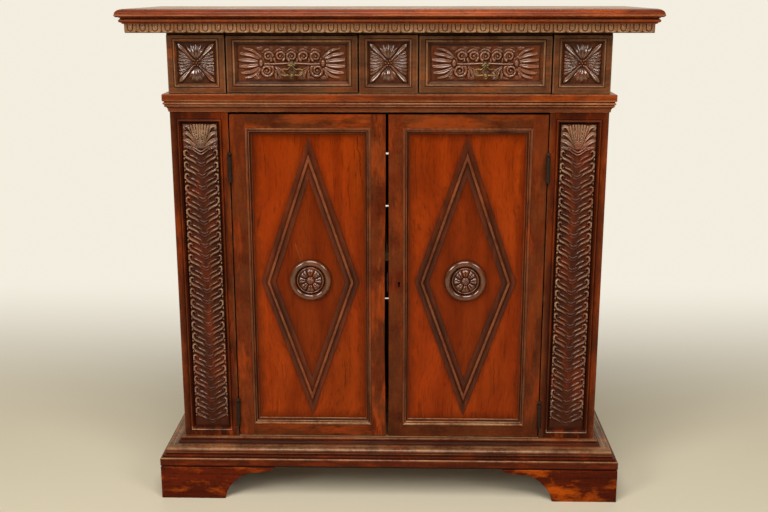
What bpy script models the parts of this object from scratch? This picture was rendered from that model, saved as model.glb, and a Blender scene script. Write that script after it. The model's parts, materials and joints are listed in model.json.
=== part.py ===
# A small walnut credenza: two drawers between three carved blocks, over two lozenge
# doors between two carved pilasters, on a stepped base with bracket feet.
import math

import bmesh
import bpy
from mathutils import Matrix

for leftover in list(bpy.data.objects):
    bpy.data.objects.remove(leftover, do_unlink=True)

# Driving sizes in metres. The front faces -Y and the floor is at Z = 0.
seat_gap = 0.0003  # between pieces that rest on, or fit in, each other

# Case
total_height = 1.023
case_width = 0.877
case_depth = 0.297
board_thickness = 0.020
back_thickness = 0.012
back_gap = 0.0053  # between the planks of the back
back_strip = 0.060  # plain at each end of a gap
lower_back_gap = 0.2244  # above the cupboard floor
middle_back_gap = 0.4471
upper_back_gap = 0.5692
front_thickness = 0.022  # pilasters, blocks and drawer fronts

# Storeys, from the floor up; the doors take what is left of the height
foot_height = 0.072
base_height = 0.054
waist_height = 0.036
drawer_storey = 0.1195
frieze_height = 0.019
bed_height = 0.0105
top_thickness = 0.016

# Top
frieze_side_overhang = 0.075
frieze_front_overhang = 0.029
bed_overhang = 0.008
bed_groove = 0.0015
nosing_overhang = 0.015
nosing_round = 0.0145
nosing_lip = 0.005
nosing_step = 0.003

# Waist moulding
waist_projection = 0.012
waist_edge_round = 0.002
waist_fascia = 0.018
waist_quirk = 0.003
waist_bead = 0.0022
waist_lip = 0.002

# Base moulding
base_projection = 0.0465
base_fascia = 0.020
base_step_height = 0.0055
base_step_depth = 0.0055
base_neck = 0.007
base_collar = 0.009
base_collar_round = 0.003

# Bracket feet
foot_thickness = 0.020
foot_toe = 0.136
foot_arch = 0.058
foot_wing = 0.050
foot_side_toe = 0.085
foot_side_arch = 0.045
foot_side_wing = 0.025
foot_wing_height = 0.012
foot_arch_power = 1.6
foot_post = 0.075

# Moulded frames round the carved fields
frame_bead = 0.0015
frame_bead_share = 0.6  # of the width of the moulding
field_recess = 0.006
field_relief = 0.0045
field_slope = 0.008
field_edge = 0.0015

# Drawer storey
side_block_width = 0.1145
centre_block_width = 0.116
block_flat = 0.0115
block_moulding = 0.0085
drawer_gap = 0.003
drawer_clear = 0.002  # above and below a drawer front
drawer_flat = 0.0115
drawer_moulding = 0.0115
drawer_inset = 0.001
drawer_side_thickness = 0.010
drawer_side_height = 0.085
drawer_bottom_thickness = 0.006
drawer_bottom_lift = 0.008
drawer_groove = 0.004
drawer_back_clear = 0.0274  # behind a closed drawer
guide_height = 0.016

# Drawer pulls
pull_drop_from_centre = 0.005
plate_radius = 0.0085
plate_lobe = 0.16  # of the radius
plate_lobes = 4
plate_thickness = 0.0015
eye_radius = 0.0045
eye_width = 0.005
eye_bore = 0.0022
eye_neck = 0.0054
eye_stand = 0.0062
bail_width = 0.047
bail_drop = 0.020
bail_wire = 0.0015
knob_radius = 0.0036
knob_neck = 0.002
knob_drop = 0.0076
knob_drop_radius = 0.0029

# Pilasters
pilaster_extra = 0.002  # wider than the block over it
pilaster_flat = 0.013
pilaster_foot_flat = 0.010
pilaster_head_flat = 0.015
pilaster_moulding = 0.009
pilaster_recess = 0.010
pilaster_relief = 0.0075
pilaster_slope = 0.006

# Doors
door_thickness = 0.022
door_side_gap = 0.0027
door_sill_gap = 0.002
door_head_gap = 0.005
meeting_gap = 0.005
meeting_offset = -0.003  # the two doors meet a little left of the middle
stile_width = 0.030
top_rail_width = 0.027
bottom_rail_width = 0.0245
panel_recess = 0.010
panel_thickness = 0.008
panel_groove = 0.004
panel_moulding = 0.012
panel_moulding_bead = 0.0053
panel_moulding_rise = 0.001
panel_moulding_foot = 0.002
lozenge_side_margin = 0.013
lozenge_end_margin = 0.012
lozenge_drop = 0.0035  # below the middle of the opening
lozenge_band = 0.0275
lozenge_edge = 0.002
lozenge_height = 0.0075
lozenge_crown = 0.011
boss_radius = 0.0436
boss_edge = 0.004
boss_ring = 0.0065
boss_rim = 0.024
boss_rim_round = 0.0022
boss_well = 0.0073
boss_flower = 0.019
boss_bud = 0.017
boss_height = 0.014

# Hinges
hinge_inset = 0.080
hinge_radius = 0.0042
hinge_stand = 0.0047  # axis in front of the door
hinge_knuckle = 0.026
hinge_pin = 0.0018
hinge_play = 0.0004
hinge_ball = 0.0045
hinge_tab_depth = 0.016

# Lock
key_height = 0.468
key_setback = 0.0223
keyhole_radius = 0.0028
keyhole_slot = 0.0016
keyhole_drop = 0.009
lock_setback = 0.001
lock_width = 0.058
lock_height = 0.074
lock_thickness = 0.014
bolt_length = 0.042
bolt_height = 0.030
bolt_thickness = 0.007
bolt_play = 0.0006
lock_plate_height = 0.039  # the plate on the edge of the door
lock_plate_thickness = 0.0026
lock_plate_inset = 0.0015  # behind the front of the door
lock_plate_lap = 0.0015  # round the back of the door

# Shelf
shelf_thickness = 0.016
shelf_setback = 0.045
shelf_housing = 0.006
shelf_height = 0.394  # above the cupboard floor

# Levels and planes that follow from the driving sizes
z_foot = foot_height
z_base = z_foot + base_height
z_top = total_height - top_thickness
z_bed = z_top - bed_height
z_frieze = z_bed - frieze_height
z_drawers = z_frieze - drawer_storey
z_waist = z_drawers - waist_height
half_case = case_width / 2
front_reach = max(base_projection, frieze_front_overhang + nosing_overhang)
case_back = (case_depth + front_reach) / 2
case_front = case_back - case_depth
inside_front = case_front + front_thickness + seat_gap
inside_back = case_back - back_thickness - seat_gap
inside_half = half_case - board_thickness - seat_gap
opening_half = half_case - side_block_width - pilaster_extra


def finish(name, colour, roughness, metallic=0.0):
    made = bpy.data.materials.new(name)
    made.use_nodes = True
    shader = made.node_tree.nodes["Principled BSDF"]
    shader.inputs["Base Color"].default_value = (*colour, 1.0)
    shader.inputs["Roughness"].default_value = roughness
    shader.inputs["Metallic"].default_value = metallic
    return made


polished_walnut = finish("polished_walnut", (0.10, 0.030, 0.011), 0.32)
panel_walnut = finish("panel_walnut", (0.20, 0.052, 0.014), 0.28)
carved_walnut = finish("carved_walnut", (0.075, 0.032, 0.016), 0.38)
inner_wood = finish("inner_wood", (0.26, 0.15, 0.075), 0.7)
aged_brass = finish("aged_brass", (0.40, 0.27, 0.10), 0.38, 1.0)
dark_iron = finish("dark_iron", (0.06, 0.05, 0.045), 0.5, 1.0)


def place(name, body, material, carrier=None, smooth=False):
    bmesh.ops.recalc_face_normals(body, faces=body.faces)
    mesh = bpy.data.meshes.new(name)
    body.to_mesh(mesh)
    body.free()
    mesh.materials.append(material)
    if smooth:
        mesh.shade_smooth()
        mesh.set_sharp_from_angle(angle=math.radians(35))
    piece = bpy.data.objects.new(name, mesh)
    bpy.context.collection.objects.link(piece)
    if carrier:
        piece.parent = carrier
        piece.location = -carrier.location
    return piece


def pivot(name, location, carrier=None):
    mark = bpy.data.objects.new(name, None)
    bpy.context.collection.objects.link(mark)
    mark.location = location
    if carrier:
        mark.parent = carrier
        mark.matrix_parent_inverse = Matrix.Translation(-carrier.location)
    return mark


def combine(piece, other, operation):
    step = piece.modifiers.new(other.name, "BOOLEAN")
    step.operation = operation
    step.object = other
    other.hide_render = True
    other.display_type = "WIRE"


def arc(centre, radii, start, end, steps):
    turns = [math.radians(start + (end - start) * i / steps) for i in range(steps + 1)]
    return [(centre[0] + radii[0] * math.cos(t), centre[1] + radii[1] * math.sin(t)) for t in turns]


def box(x, y, z):
    body = bmesh.new()
    bmesh.ops.create_cube(body, size=1.0)
    bmesh.ops.scale(body, vec=(x[1] - x[0], y[1] - y[0], z[1] - z[0]), verts=body.verts)
    middle = ((x[0] + x[1]) / 2, (y[0] + y[1]) / 2, (z[0] + z[1]) / 2)
    bmesh.ops.translate(body, vec=middle, verts=body.verts)
    return body


def along_x(a, b, c):
    return (c, a, b)


def along_y(a, b, c):
    return (a, c, b)


def along_z(a, b, c):
    return (a, b, c)


def prism(outline, low, high, turn):
    body = bmesh.new()
    face = body.faces.new([body.verts.new(turn(a, b, low)) for a, b in outline])
    grown = bmesh.ops.extrude_face_region(body, geom=[face])["geom"]
    tops = [item for item in grown if isinstance(item, bmesh.types.BMVert)]
    bmesh.ops.translate(body, vec=turn(0, 0, high - low), verts=tops)
    return body


def loft(rings, closed=False):
    body = bmesh.new()
    loops = [[body.verts.new(point) for point in ring] for ring in rings]
    following = loops[1:] + loops[:1] if closed else loops[1:]
    for near, far in zip(loops, following):
        for i in range(len(near)):
            j = (i + 1) % len(near)
            body.faces.new((near[i], near[j], far[j], far[i]))
    if not closed:
        body.faces.new(loops[0])
        body.faces.new(loops[-1])
    return body


def mitred(path, section, closed, turn):
    # The section's first value is measured to the right of the way the path runs.
    count = len(path)
    sides = []
    for i in range(count if closed else count - 1):
        a, b = path[i], path[(i + 1) % count]
        length = math.dist(a, b)
        sides.append(((b[1] - a[1]) / length, (a[0] - b[0]) / length))
    rings = []
    for i, (a, b) in enumerate(path):
        before = sides[i - 1] if closed or i else sides[0]
        after = sides[i] if i < len(sides) else sides[-1]
        share = 1 + before[0] * after[0] + before[1] * after[1]
        da, db = (before[0] + after[0]) / share, (before[1] + after[1]) / share
        rings.append([turn(a + da * out, b + db * out, rise) for out, rise in section])
    return loft(rings, closed)


def turned(profile, centre, steps, towards_front=False):
    # The profile holds (radius, height), and runs from one end of the axis to the other.
    body = bmesh.new()
    points = [body.verts.new((radius, 0, height)) for radius, height in profile]
    edges = [body.edges.new(pair) for pair in zip(points, points[1:])]
    bmesh.ops.spin(body, geom=points + edges, axis=(0, 0, 1), angle=math.tau, steps=steps, use_merge=True)
    bmesh.ops.remove_doubles(body, verts=body.verts, dist=1e-6)
    if towards_front:
        bmesh.ops.rotate(body, matrix=Matrix.Rotation(math.radians(90), 3, "X"), verts=body.verts)
    bmesh.ops.translate(body, vec=centre, verts=body.verts)
    return body


def rod_along_x(centre, radius, length, sides):
    round_face = arc((centre[1], centre[2]), (radius, radius), 0, 360 - 360 / sides, sides - 1)
    return prism(round_face, centre[0] - length / 2, centre[0] + length / 2, along_x)


def rectangle(x, z, inset, y):
    left, right, low, high = x[0] + inset, x[1] - inset, z[0] + inset, z[1] - inset
    return [(left, y, low), (right, y, low), (right, y, high), (left, y, high)]


def framed_rings(x, z, moulding, recess):
    # A bead stands proud of the face, and a slope runs from it down to the field.
    bead_half = moulding * frame_bead_share / 2
    bead = arc((bead_half, 0), (bead_half, frame_bead), 180, 0, 4)
    rings = [rectangle(x, z, inset, case_front - rise) for inset, rise in bead]
    rings.append(rectangle(x, z, moulding, case_front + recess))
    return rings


def carved_board(x, z, flat, moulding):
    frame_x, frame_z = (x[0] + flat, x[1] - flat), (z[0] + flat, z[1] - flat)
    rings = [rectangle(x, z, 0, case_front + front_thickness), rectangle(x, z, 0, case_front)]
    rings += framed_rings(frame_x, frame_z, moulding, field_recess)
    rings.append(rectangle(frame_x, frame_z, moulding + field_edge, case_front + field_recess))
    raised = case_front + field_recess - field_relief
    rings.append(rectangle(frame_x, frame_z, moulding + field_edge + field_slope, raised))
    return loft(rings)


# Top: nosing board, bed moulding and frieze board, each reaching the back of the case
def top_slab(name, profile, material):
    rings = []
    for out, z in profile:
        x = half_case + frieze_side_overhang + out
        y = case_front - frieze_front_overhang - out
        rings.append([(-x, y, z), (x, y, z), (x, case_back, z), (-x, case_back, z)])
    place(name, loft(rings), material)


def build_top():
    rounded = arc(
        (nosing_overhang - nosing_round, z_top + nosing_lip),
        (nosing_round, top_thickness - nosing_lip),
        0,
        90,
        6,
    )
    lip_reach = nosing_overhang - nosing_step
    lip = [(lip_reach, z_top + seat_gap), (lip_reach, z_top + nosing_lip)]
    top_slab("top_board", lip + rounded, polished_walnut)
    torus_height = (bed_height - bed_groove) / 2
    torus = arc((0, z_bed + torus_height), (bed_overhang, torus_height - seat_gap), -90, 90, 6)
    top_slab("bed_moulding", torus + [(0, z_top)], polished_walnut)
    top_slab("frieze_board", [(0, z_frieze), (0, z_bed)], carved_walnut)


# Case: sides, back, bottom, dust board, shelf and drawer guides
def side_outline(side):
    outer, inner = side * half_case, side * (half_case - board_thickness)
    housed = inner + side * shelf_housing
    points = [(outer, z_foot + seat_gap), (inner, z_foot + seat_gap)]
    low = z_base + shelf_height - shelf_thickness - seat_gap
    high = z_base + shelf_height + seat_gap
    points += [(inner, low), (housed, low), (housed, high), (inner, high)]
    return points + [(inner, z_frieze - seat_gap), (outer, z_frieze - seat_gap)]


def notched_board(name, low, high, material):
    # The front edge passes between the pilasters, which the board stops behind.
    narrow = opening_half - seat_gap
    right = [(narrow, case_front + seat_gap), (narrow, inside_front), (inside_half, inside_front)]
    right.append((inside_half, inside_back))
    left = [(-x, y) for x, y in reversed(right)]
    place(name, prism(right + left, low, high, along_z), material)


def build_case():
    for name, side in (("left_side_board", -1), ("right_side_board", 1)):
        place(name, prism(side_outline(side), inside_front, case_back, along_y), polished_walnut)
    back_y = (case_back - back_thickness, case_back)
    back_z = (z_foot + seat_gap, z_frieze - seat_gap)
    back = place("back_board", box((-inside_half, inside_half), back_y, back_z), inner_wood)
    gap_half = inside_half - back_strip
    gap_y = (back_y[0] - back_thickness, back_y[1] + back_thickness)
    for name, level in (("lower", lower_back_gap), ("middle", middle_back_gap), ("upper", upper_back_gap)):
        gap_z = (z_base + level - back_gap / 2, z_base + level + back_gap / 2)
        combine(back, place(name + "_gap", box((-gap_half, gap_half), gap_y, gap_z), inner_wood), "DIFFERENCE")
    notched_board("bottom_board", z_base - board_thickness, z_base, inner_wood)
    notched_board("dust_board", z_drawers - board_thickness, z_drawers, inner_wood)
    shelf_half = half_case - board_thickness + shelf_housing - seat_gap
    shelf_z = (z_base + shelf_height - shelf_thickness, z_base + shelf_height)
    shelf_y = (case_front + shelf_setback, inside_back)
    place("middle_shelf", box((-shelf_half, shelf_half), shelf_y, shelf_z), inner_wood)
    guide_z = (z_drawers + seat_gap, z_drawers + seat_gap + guide_height)
    guides = {
        "left_drawer_guide": (-inside_half, side_block_width - half_case),
        "centre_drawer_guide": (-centre_block_width / 2, centre_block_width / 2),
        "right_drawer_guide": (half_case - side_block_width, inside_half),
    }
    for name, x in guides.items():
        place(name, box(x, (inside_front, inside_back), guide_z), inner_wood)


# Front: carved blocks and pilasters
def build_blocks():
    z = (z_drawers + seat_gap, z_frieze - seat_gap)
    blocks = {
        "left_carved_block": (-half_case, side_block_width - half_case),
        "centre_carved_block": (-centre_block_width / 2, centre_block_width / 2),
        "right_carved_block": (half_case - side_block_width, half_case),
    }
    for name, x in blocks.items():
        place(name, carved_board(x, z, block_flat, block_moulding), carved_walnut)


def build_pilaster(name, x):
    z = (z_foot + seat_gap, z_drawers - seat_gap)
    frame_x = (x[0] + pilaster_flat, x[1] - pilaster_flat)
    frame_z = (z_base + pilaster_foot_flat, z_waist - pilaster_head_flat)
    rings = [rectangle(x, z, 0, case_front + front_thickness), rectangle(x, z, 0, case_front)]
    rings += framed_rings(frame_x, frame_z, pilaster_moulding, pilaster_recess)
    place(name, loft(rings), polished_walnut)
    floor = case_front + pilaster_recess
    inset = pilaster_moulding + seat_gap
    panel = [
        rectangle(frame_x, frame_z, inset, floor - seat_gap),
        rectangle(frame_x, frame_z, inset, floor - field_edge),
        rectangle(frame_x, frame_z, inset + pilaster_slope, floor - pilaster_relief),
    ]
    place(name + "_carving", loft(panel), carved_walnut)


# Mouldings wrapped round the front and the sides of the case
wrap_path = [(-half_case, case_back), (-half_case, case_front)]
wrap_path += [(half_case, case_front), (half_case, case_back)]


def build_waist():
    top, fascia_low = z_drawers, z_drawers - waist_fascia
    reach = waist_projection
    edge = arc((reach - waist_edge_round, top - waist_edge_round), (waist_edge_round,) * 2, 90, 0, 3)
    bead_middle = fascia_low - waist_quirk / 2 - waist_bead
    bead = arc((reach - waist_quirk - waist_bead, bead_middle), (waist_bead,) * 2, 90, -90, 4)
    hollow_reach = reach - waist_quirk - waist_bead - waist_lip
    hollow_drop = bead_middle - waist_bead - z_waist
    hollow = arc((waist_lip + hollow_reach, z_waist), (hollow_reach, hollow_drop), 90, 180, 5)
    section = [(seat_gap, top)] + edge
    section += [(reach, fascia_low), (reach - waist_quirk, fascia_low)]
    section += bead[:-1] + hollow + [(seat_gap, z_waist)]
    place("waist_moulding", mitred(wrap_path, section, False, along_z), polished_walnut)


def build_base():
    section = [(seat_gap, z_foot), (base_projection, z_foot)]
    reach, level = base_projection, z_foot + base_fascia
    for _ in range(2):
        section += [(reach, level), (reach - base_step_depth, level)]
        reach -= base_step_depth
        level += base_step_height
    round_top = z_base - base_collar
    section += arc((base_neck, level), (reach - base_neck, round_top - level), 0, 90, 8)
    collar = (base_neck - base_collar_round, z_base - base_collar_round)
    section += arc(collar, (base_collar_round,) * 2, 0, 90, 3)
    section += [(seat_gap, z_base)]
    place("base_moulding", mitred(wrap_path, section, False, along_z), polished_walnut)


# Bracket feet: a toe, an arch and a thin wing under the base moulding
def bracket_outline(toe, arch, wing, start, way):
    top = z_foot - seat_gap
    spring = foot_height - foot_wing_height
    points = [(0, top), (0, 0), (toe, 0)]
    for i in range(1, 9):
        across = math.cos(math.radians(90) * i / 8)
        up = (1 - across**foot_arch_power) ** (1 / foot_arch_power)
        points.append((toe + arch - arch * across, spring * up))
    lobe = arc((toe + arch, top), (wing, top - spring), -90, 0, 5)
    points += lobe[1:]
    return [(start + way * a, b) for a, b in points]


def build_foot(name, side, front):
    outer = side * (half_case + base_projection)
    near = case_front - base_projection if front else case_back
    way = 1 if front else -1
    inner = outer - side * foot_thickness
    profile = bracket_outline(foot_side_toe, foot_side_arch, foot_side_wing, near, way)
    foot = place(name, prism(profile, min(outer, inner), max(outer, inner), along_x), polished_walnut)
    shoulder = foot_thickness / 2
    post_x = sorted((outer - side * shoulder, outer - side * foot_post))
    post_y = sorted((near + way * shoulder, near + way * foot_post))
    top = z_foot - seat_gap
    post = place(name + "_post", box(post_x, post_y, (0, top)), polished_walnut)
    combine(foot, post, "UNION")
    if front:
        profile = bracket_outline(foot_toe, foot_arch, foot_wing, outer, -side)
        face = place(name + "_face", prism(profile, near, near + foot_thickness, along_y), polished_walnut)
        combine(foot, face, "UNION")


# Drawers, with their pulls
def pull_plate(name, centre, carrier):
    across = [math.tau * i / 24 for i in range(24)]
    outline = []
    for turn in across:
        radius = plate_radius * (1 + plate_lobe * math.cos(plate_lobes * turn))
        outline.append((centre[0] + radius * math.cos(turn), centre[2] + radius * math.sin(turn)))
    seat = case_front + field_recess - field_relief - seat_gap
    plate = place(name, prism(outline, seat - plate_thickness, seat, along_y), aged_brass, carrier)
    neck_x = (centre[0] - eye_width / 2, centre[0] + eye_width / 2)
    neck_z = (centre[2] - eye_neck / 2, centre[2] + eye_neck / 2)
    neck = place(name + "_neck", box(neck_x, (centre[1], seat - plate_thickness / 2), neck_z), aged_brass)
    eye = place(name + "_eye", rod_along_x(centre, eye_radius, eye_width, 16), aged_brass)
    bore = place(name + "_bore", rod_along_x(centre, eye_bore, eye_width + 2 * eye_radius, 12), aged_brass)
    combine(plate, neck, "UNION")
    combine(plate, eye, "UNION")
    combine(plate, bore, "DIFFERENCE")


def pull_bail(name, centre, carrier):
    rings = []
    for i in range(32):
        turn = math.tau * (i + 0.5) / 32
        out, up = math.cos(turn) / (bail_width / 2), math.sin(turn) / (bail_drop / 2)
        length = math.hypot(out, up)
        middle_x = centre[0] + bail_width / 2 * math.cos(turn)
        middle_z = centre[2] - bail_drop / 2 + bail_drop / 2 * math.sin(turn)
        ring = []
        for across, depth in arc((0, 0), (bail_wire, bail_wire), 0, 315, 7):
            x = middle_x + across * out / length
            z = middle_z + across * up / length
            ring.append((x, centre[1] + depth, z))
        rings.append(ring)
    bail = place(name, loft(rings, True), aged_brass, carrier, True)
    ball = arc((0, 0), (knob_radius, knob_radius), 90, -50, 6)
    drop = arc((0, -knob_drop), (knob_drop_radius, knob_radius), 60, -90, 6)
    knob = ball + [(knob_neck, -knob_drop / 2)] + drop
    hung = (centre[0], centre[1], centre[2] - bail_drop)
    combine(bail, place(name + "_knob", turned(knob, hung, 12), aged_brass), "UNION")


def build_drawer(side, x):
    slide = pivot(side + "_drawer", ((x[0] + x[1]) / 2, case_front, z_drawers))
    z = (z_drawers + drawer_clear, z_frieze - drawer_clear)
    front = carved_board(x, z, drawer_flat, drawer_moulding)
    place(side + "_drawer_front", front, carved_walnut, slide)
    box_x = (x[0] + drawer_inset, x[1] - drawer_inset)
    box_y = (inside_front, inside_back - drawer_back_clear)
    low, high = z_drawers + seat_gap, z_drawers + drawer_side_height
    panel_z = (low + drawer_bottom_lift, low + drawer_bottom_lift + drawer_bottom_thickness)
    for hand, outer, way in (("left", box_x[0], 1), ("right", box_x[1], -1)):
        inner = outer + way * drawer_side_thickness
        groove = inner - way * drawer_groove
        outline = [(outer, low), (inner, low)]
        outline += [(inner, panel_z[0] - seat_gap), (groove, panel_z[0] - seat_gap)]
        outline += [(groove, panel_z[1] + seat_gap), (inner, panel_z[1] + seat_gap)]
        outline += [(inner, high), (outer, high)]
        board = prism(outline, box_y[0], box_y[1], along_y)
        place(side + "_drawer_" + hand + "_wall", board, inner_wood, slide)
    reach = drawer_side_thickness - drawer_groove + seat_gap
    panel = box((box_x[0] + reach, box_x[1] - reach), box_y, panel_z)
    place(side + "_drawer_bottom", panel, inner_wood, slide)
    between = drawer_side_thickness + seat_gap
    back_y = (box_y[1] - drawer_side_thickness, box_y[1])
    back_z = (panel_z[1] + seat_gap, high)
    back = box((box_x[0] + between, box_x[1] - between), back_y, back_z)
    place(side + "_drawer_back", back, inner_wood, slide)
    seat = case_front + field_recess - field_relief - seat_gap - plate_thickness
    centre = ((x[0] + x[1]) / 2, seat - eye_stand, (z[0] + z[1]) / 2 - pull_drop_from_centre)
    pull_plate(side + "_pull_plate", centre, slide)
    pull_bail(side + "_pull_bail", centre, pivot(side + "_bail", centre, slide))


# Doors
def rectangle_path(x, z):
    return [(x[0], z[0]), (x[0], z[1]), (x[1], z[1]), (x[1], z[0])]


def door_opening(x, z, wider=0.0):
    # The space between stiles and rails, wider by the given length on all four sides
    low, high = bottom_rail_width - wider, top_rail_width - wider
    return (x[0] + stile_width - wider, x[1] - stile_width + wider), (z[0] + low, z[1] - high)


def door_frame(name, x, z, carrier):
    groove_low = case_front + panel_recess - seat_gap
    groove_high = case_front + panel_recess + panel_thickness + seat_gap
    back = case_front + door_thickness
    outside, inside, floor = (x, z), door_opening(x, z), door_opening(x, z, panel_groove)
    levels = [(outside, case_front), (inside, case_front), (inside, groove_low), (floor, groove_low)]
    levels += [(floor, groove_high), (inside, groove_high), (inside, back), (outside, back)]
    rings = [[(px, y, pz) for px, pz in rectangle_path(*sides)] for sides, y in levels]
    return place(name, loft(rings, True), polished_walnut, carrier)


def door_panel(name, x, z, carrier):
    face = case_front + panel_recess
    wide, tall = door_opening(x, z, panel_groove - seat_gap)
    place(name, box(wide, (face, face + panel_thickness), tall), panel_walnut, carrier)


def door_panel_moulding(name, x, z, carrier):
    seat = case_front + panel_recess - seat_gap
    crest = case_front - panel_moulding_rise
    bead = panel_moulding_bead / 2
    hollow = panel_moulding - panel_moulding_bead
    foot = seat - panel_moulding_foot
    section = [(0, seat), (0, case_front)]
    section += arc((bead, case_front), (bead, case_front - crest), 180, 360, 4)[1:]
    section += arc((panel_moulding, case_front), (hollow, foot - case_front), 180, 90, 5)[1:]
    section += [(panel_moulding, seat)]
    path = rectangle_path(*door_opening(x, z, -seat_gap))
    place(name, mitred(path, section, True, along_y), polished_walnut, carrier)


def door_lozenge(name, x, z, carrier):
    wide, tall = door_opening(x, z, -seat_gap - panel_moulding)
    half_width = (wide[1] - wide[0]) / 2 - lozenge_side_margin
    half_height = (tall[1] - tall[0]) / 2 - lozenge_end_margin
    middle_x, middle_z = (wide[0] + wide[1]) / 2, (tall[0] + tall[1]) / 2 - lozenge_drop
    path = [(middle_x, middle_z - half_height), (middle_x - half_width, middle_z)]
    path += [(middle_x, middle_z + half_height), (middle_x + half_width, middle_z)]
    seat = case_front + panel_recess - seat_gap
    edge, crest = seat - lozenge_edge, seat - lozenge_height
    flank = (lozenge_band - lozenge_crown) / 2
    section = [(0, seat)] + arc((0, crest), (flank, edge - crest), 90, 0, 4)
    section += [(lozenge_band / 2, crest + lozenge_edge / 2)]
    section += arc((lozenge_band, crest), (flank, edge - crest), 180, 90, 4) + [(lozenge_band, seat)]
    place(name, mitred(path, section, True, along_y), polished_walnut, carrier)


def door_boss(name, x, z, carrier):
    seat = case_front + panel_recess - seat_gap
    ring_middle = boss_radius - boss_ring
    profile = [(0, 0), (boss_radius, 0), (boss_radius, boss_edge)]
    profile += arc((ring_middle, boss_edge), (boss_ring, boss_ring), 0, 180, 8)[1:]
    profile += arc((boss_rim, boss_height - boss_edge), (boss_rim_round, boss_rim_round), 0, 180, 4)
    profile += [(boss_flower, boss_well)]
    profile += arc((0, boss_well), (boss_bud, boss_height - boss_edge), 20, 90, 5)
    centre = ((x[0] + x[1]) / 2, seat, (z[0] + z[1]) / 2)
    place(name, turned(profile, centre, 32, True), carved_walnut, carrier, True)


def hinge_halves(name, axis_x, level, carrier):
    axis_y = case_front - hinge_stand
    tab_half = door_side_gap / 2 - seat_gap
    tab_x = (axis_x - tab_half, axis_x + tab_half)
    tab_y = (axis_y, case_front + hinge_tab_depth)
    ball_low = level - hinge_ball
    eye_high = ball_low - seat_gap
    eye_low = eye_high - hinge_knuckle
    pin_high = eye_low - seat_gap
    pin_low = pin_high - hinge_knuckle
    ball = arc((0, level), (hinge_ball, hinge_ball), -60, 90, 6)
    profile = [(0, pin_low), (hinge_radius, pin_low), (hinge_radius, pin_high), (hinge_pin, pin_high)]
    profile += [(hinge_pin, ball[0][1])] + ball
    pin = place(name + "_pin", turned(profile, (axis_x, axis_y, 0), 16), dark_iron, None, True)
    combine(pin, place(name + "_pin_tab", box(tab_x, tab_y, (pin_low, pin_high)), dark_iron), "UNION")
    solid = [(0, eye_low), (hinge_radius, eye_low), (hinge_radius, eye_high), (0, eye_high)]
    eye = place(name + "_eye", turned(solid, (axis_x, axis_y, 0), 16), dark_iron, carrier, True)
    combine(eye, place(name + "_eye_tab", box(tab_x, tab_y, (eye_low, eye_high)), dark_iron), "UNION")
    bored = hinge_pin + hinge_play
    bore_low, bore_high = eye_low - hinge_knuckle, eye_high + hinge_knuckle
    bore = [(0, bore_low), (bored, bore_low), (bored, bore_high), (0, bore_high)]
    hole = place(name + "_bore", turned(bore, (axis_x, axis_y, 0), 16), dark_iron)
    combine(eye, hole, "DIFFERENCE")


def build_door(side, x, axis_x):
    z = (z_base + door_sill_gap, z_waist - door_head_gap)
    swing = pivot(side + "_door", (axis_x, case_front - hinge_stand, z[0]))
    frame = door_frame(side + "_door_frame", x, z, swing)
    door_panel(side + "_door_panel", x, z, swing)
    door_panel_moulding(side + "_door_panel_moulding", x, z, swing)
    door_lozenge(side + "_door_lozenge", x, z, swing)
    door_boss(side + "_door_boss", x, z, swing)
    hinge_halves(side + "_upper_hinge", axis_x, z[1] - hinge_inset, swing)
    hinge_halves(side + "_lower_hinge", axis_x, z[0] + hinge_inset, swing)
    return swing, frame


# Lock on the back of the right door; the key passes through the stile
def build_lock(door_edge, swing, frame):
    key_x = door_edge + key_setback
    round_part = arc((key_x, key_height), (keyhole_radius, keyhole_radius), -55, 235, 12)
    foot = key_height - keyhole_drop
    outline = [(key_x + keyhole_slot, foot)] + round_part + [(key_x - keyhole_slot, foot)]
    back = case_front + door_thickness
    keyhole = prism(outline, case_front - door_thickness, back + door_thickness, along_y)
    combine(frame, place("keyhole", keyhole, dark_iron), "DIFFERENCE")
    lock_x = (door_edge + lock_setback, door_edge + lock_setback + lock_width)
    lock_y = (back + seat_gap, back + seat_gap + lock_thickness)
    lock_z = (key_height - lock_height / 2, key_height + lock_height / 2)
    case = place("lock_case", box(lock_x, lock_y, lock_z), dark_iron, swing)
    plate_x = (door_edge - seat_gap - lock_plate_thickness, door_edge - seat_gap)
    plate_y = (case_front + lock_plate_inset, lock_y[0] + lock_plate_lap)
    plate_z = (key_height - lock_plate_height / 2, key_height + lock_plate_height / 2)
    combine(case, place("lock_plate", box(plate_x, plate_y, plate_z), dark_iron), "UNION")
    bend_x = (plate_x[0], lock_x[0] + lock_plate_thickness)
    bend_y = (lock_y[0], plate_y[1])
    combine(case, place("lock_plate_bend", box(bend_x, bend_y, plate_z), dark_iron), "UNION")
    middle_y = (lock_y[0] + lock_y[1]) / 2
    bolt_y = (middle_y - bolt_thickness / 2, middle_y + bolt_thickness / 2)
    bolt_z = (key_height - bolt_height / 2, key_height + bolt_height / 2)
    channel_x = (lock_x[0] - bolt_length, lock_x[0] + bolt_length + bolt_play)
    channel_y = (bolt_y[0] - bolt_play, bolt_y[1] + bolt_play)
    channel_z = (bolt_z[0] - bolt_play, bolt_z[1] + bolt_play)
    combine(case, place("bolt_channel", box(channel_x, channel_y, channel_z), dark_iron), "DIFFERENCE")
    slide = pivot("bolt", (lock_x[0], middle_y, key_height), swing)
    place("lock_bolt", box((lock_x[0], lock_x[0] + bolt_length), bolt_y, bolt_z), dark_iron, slide)


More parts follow.
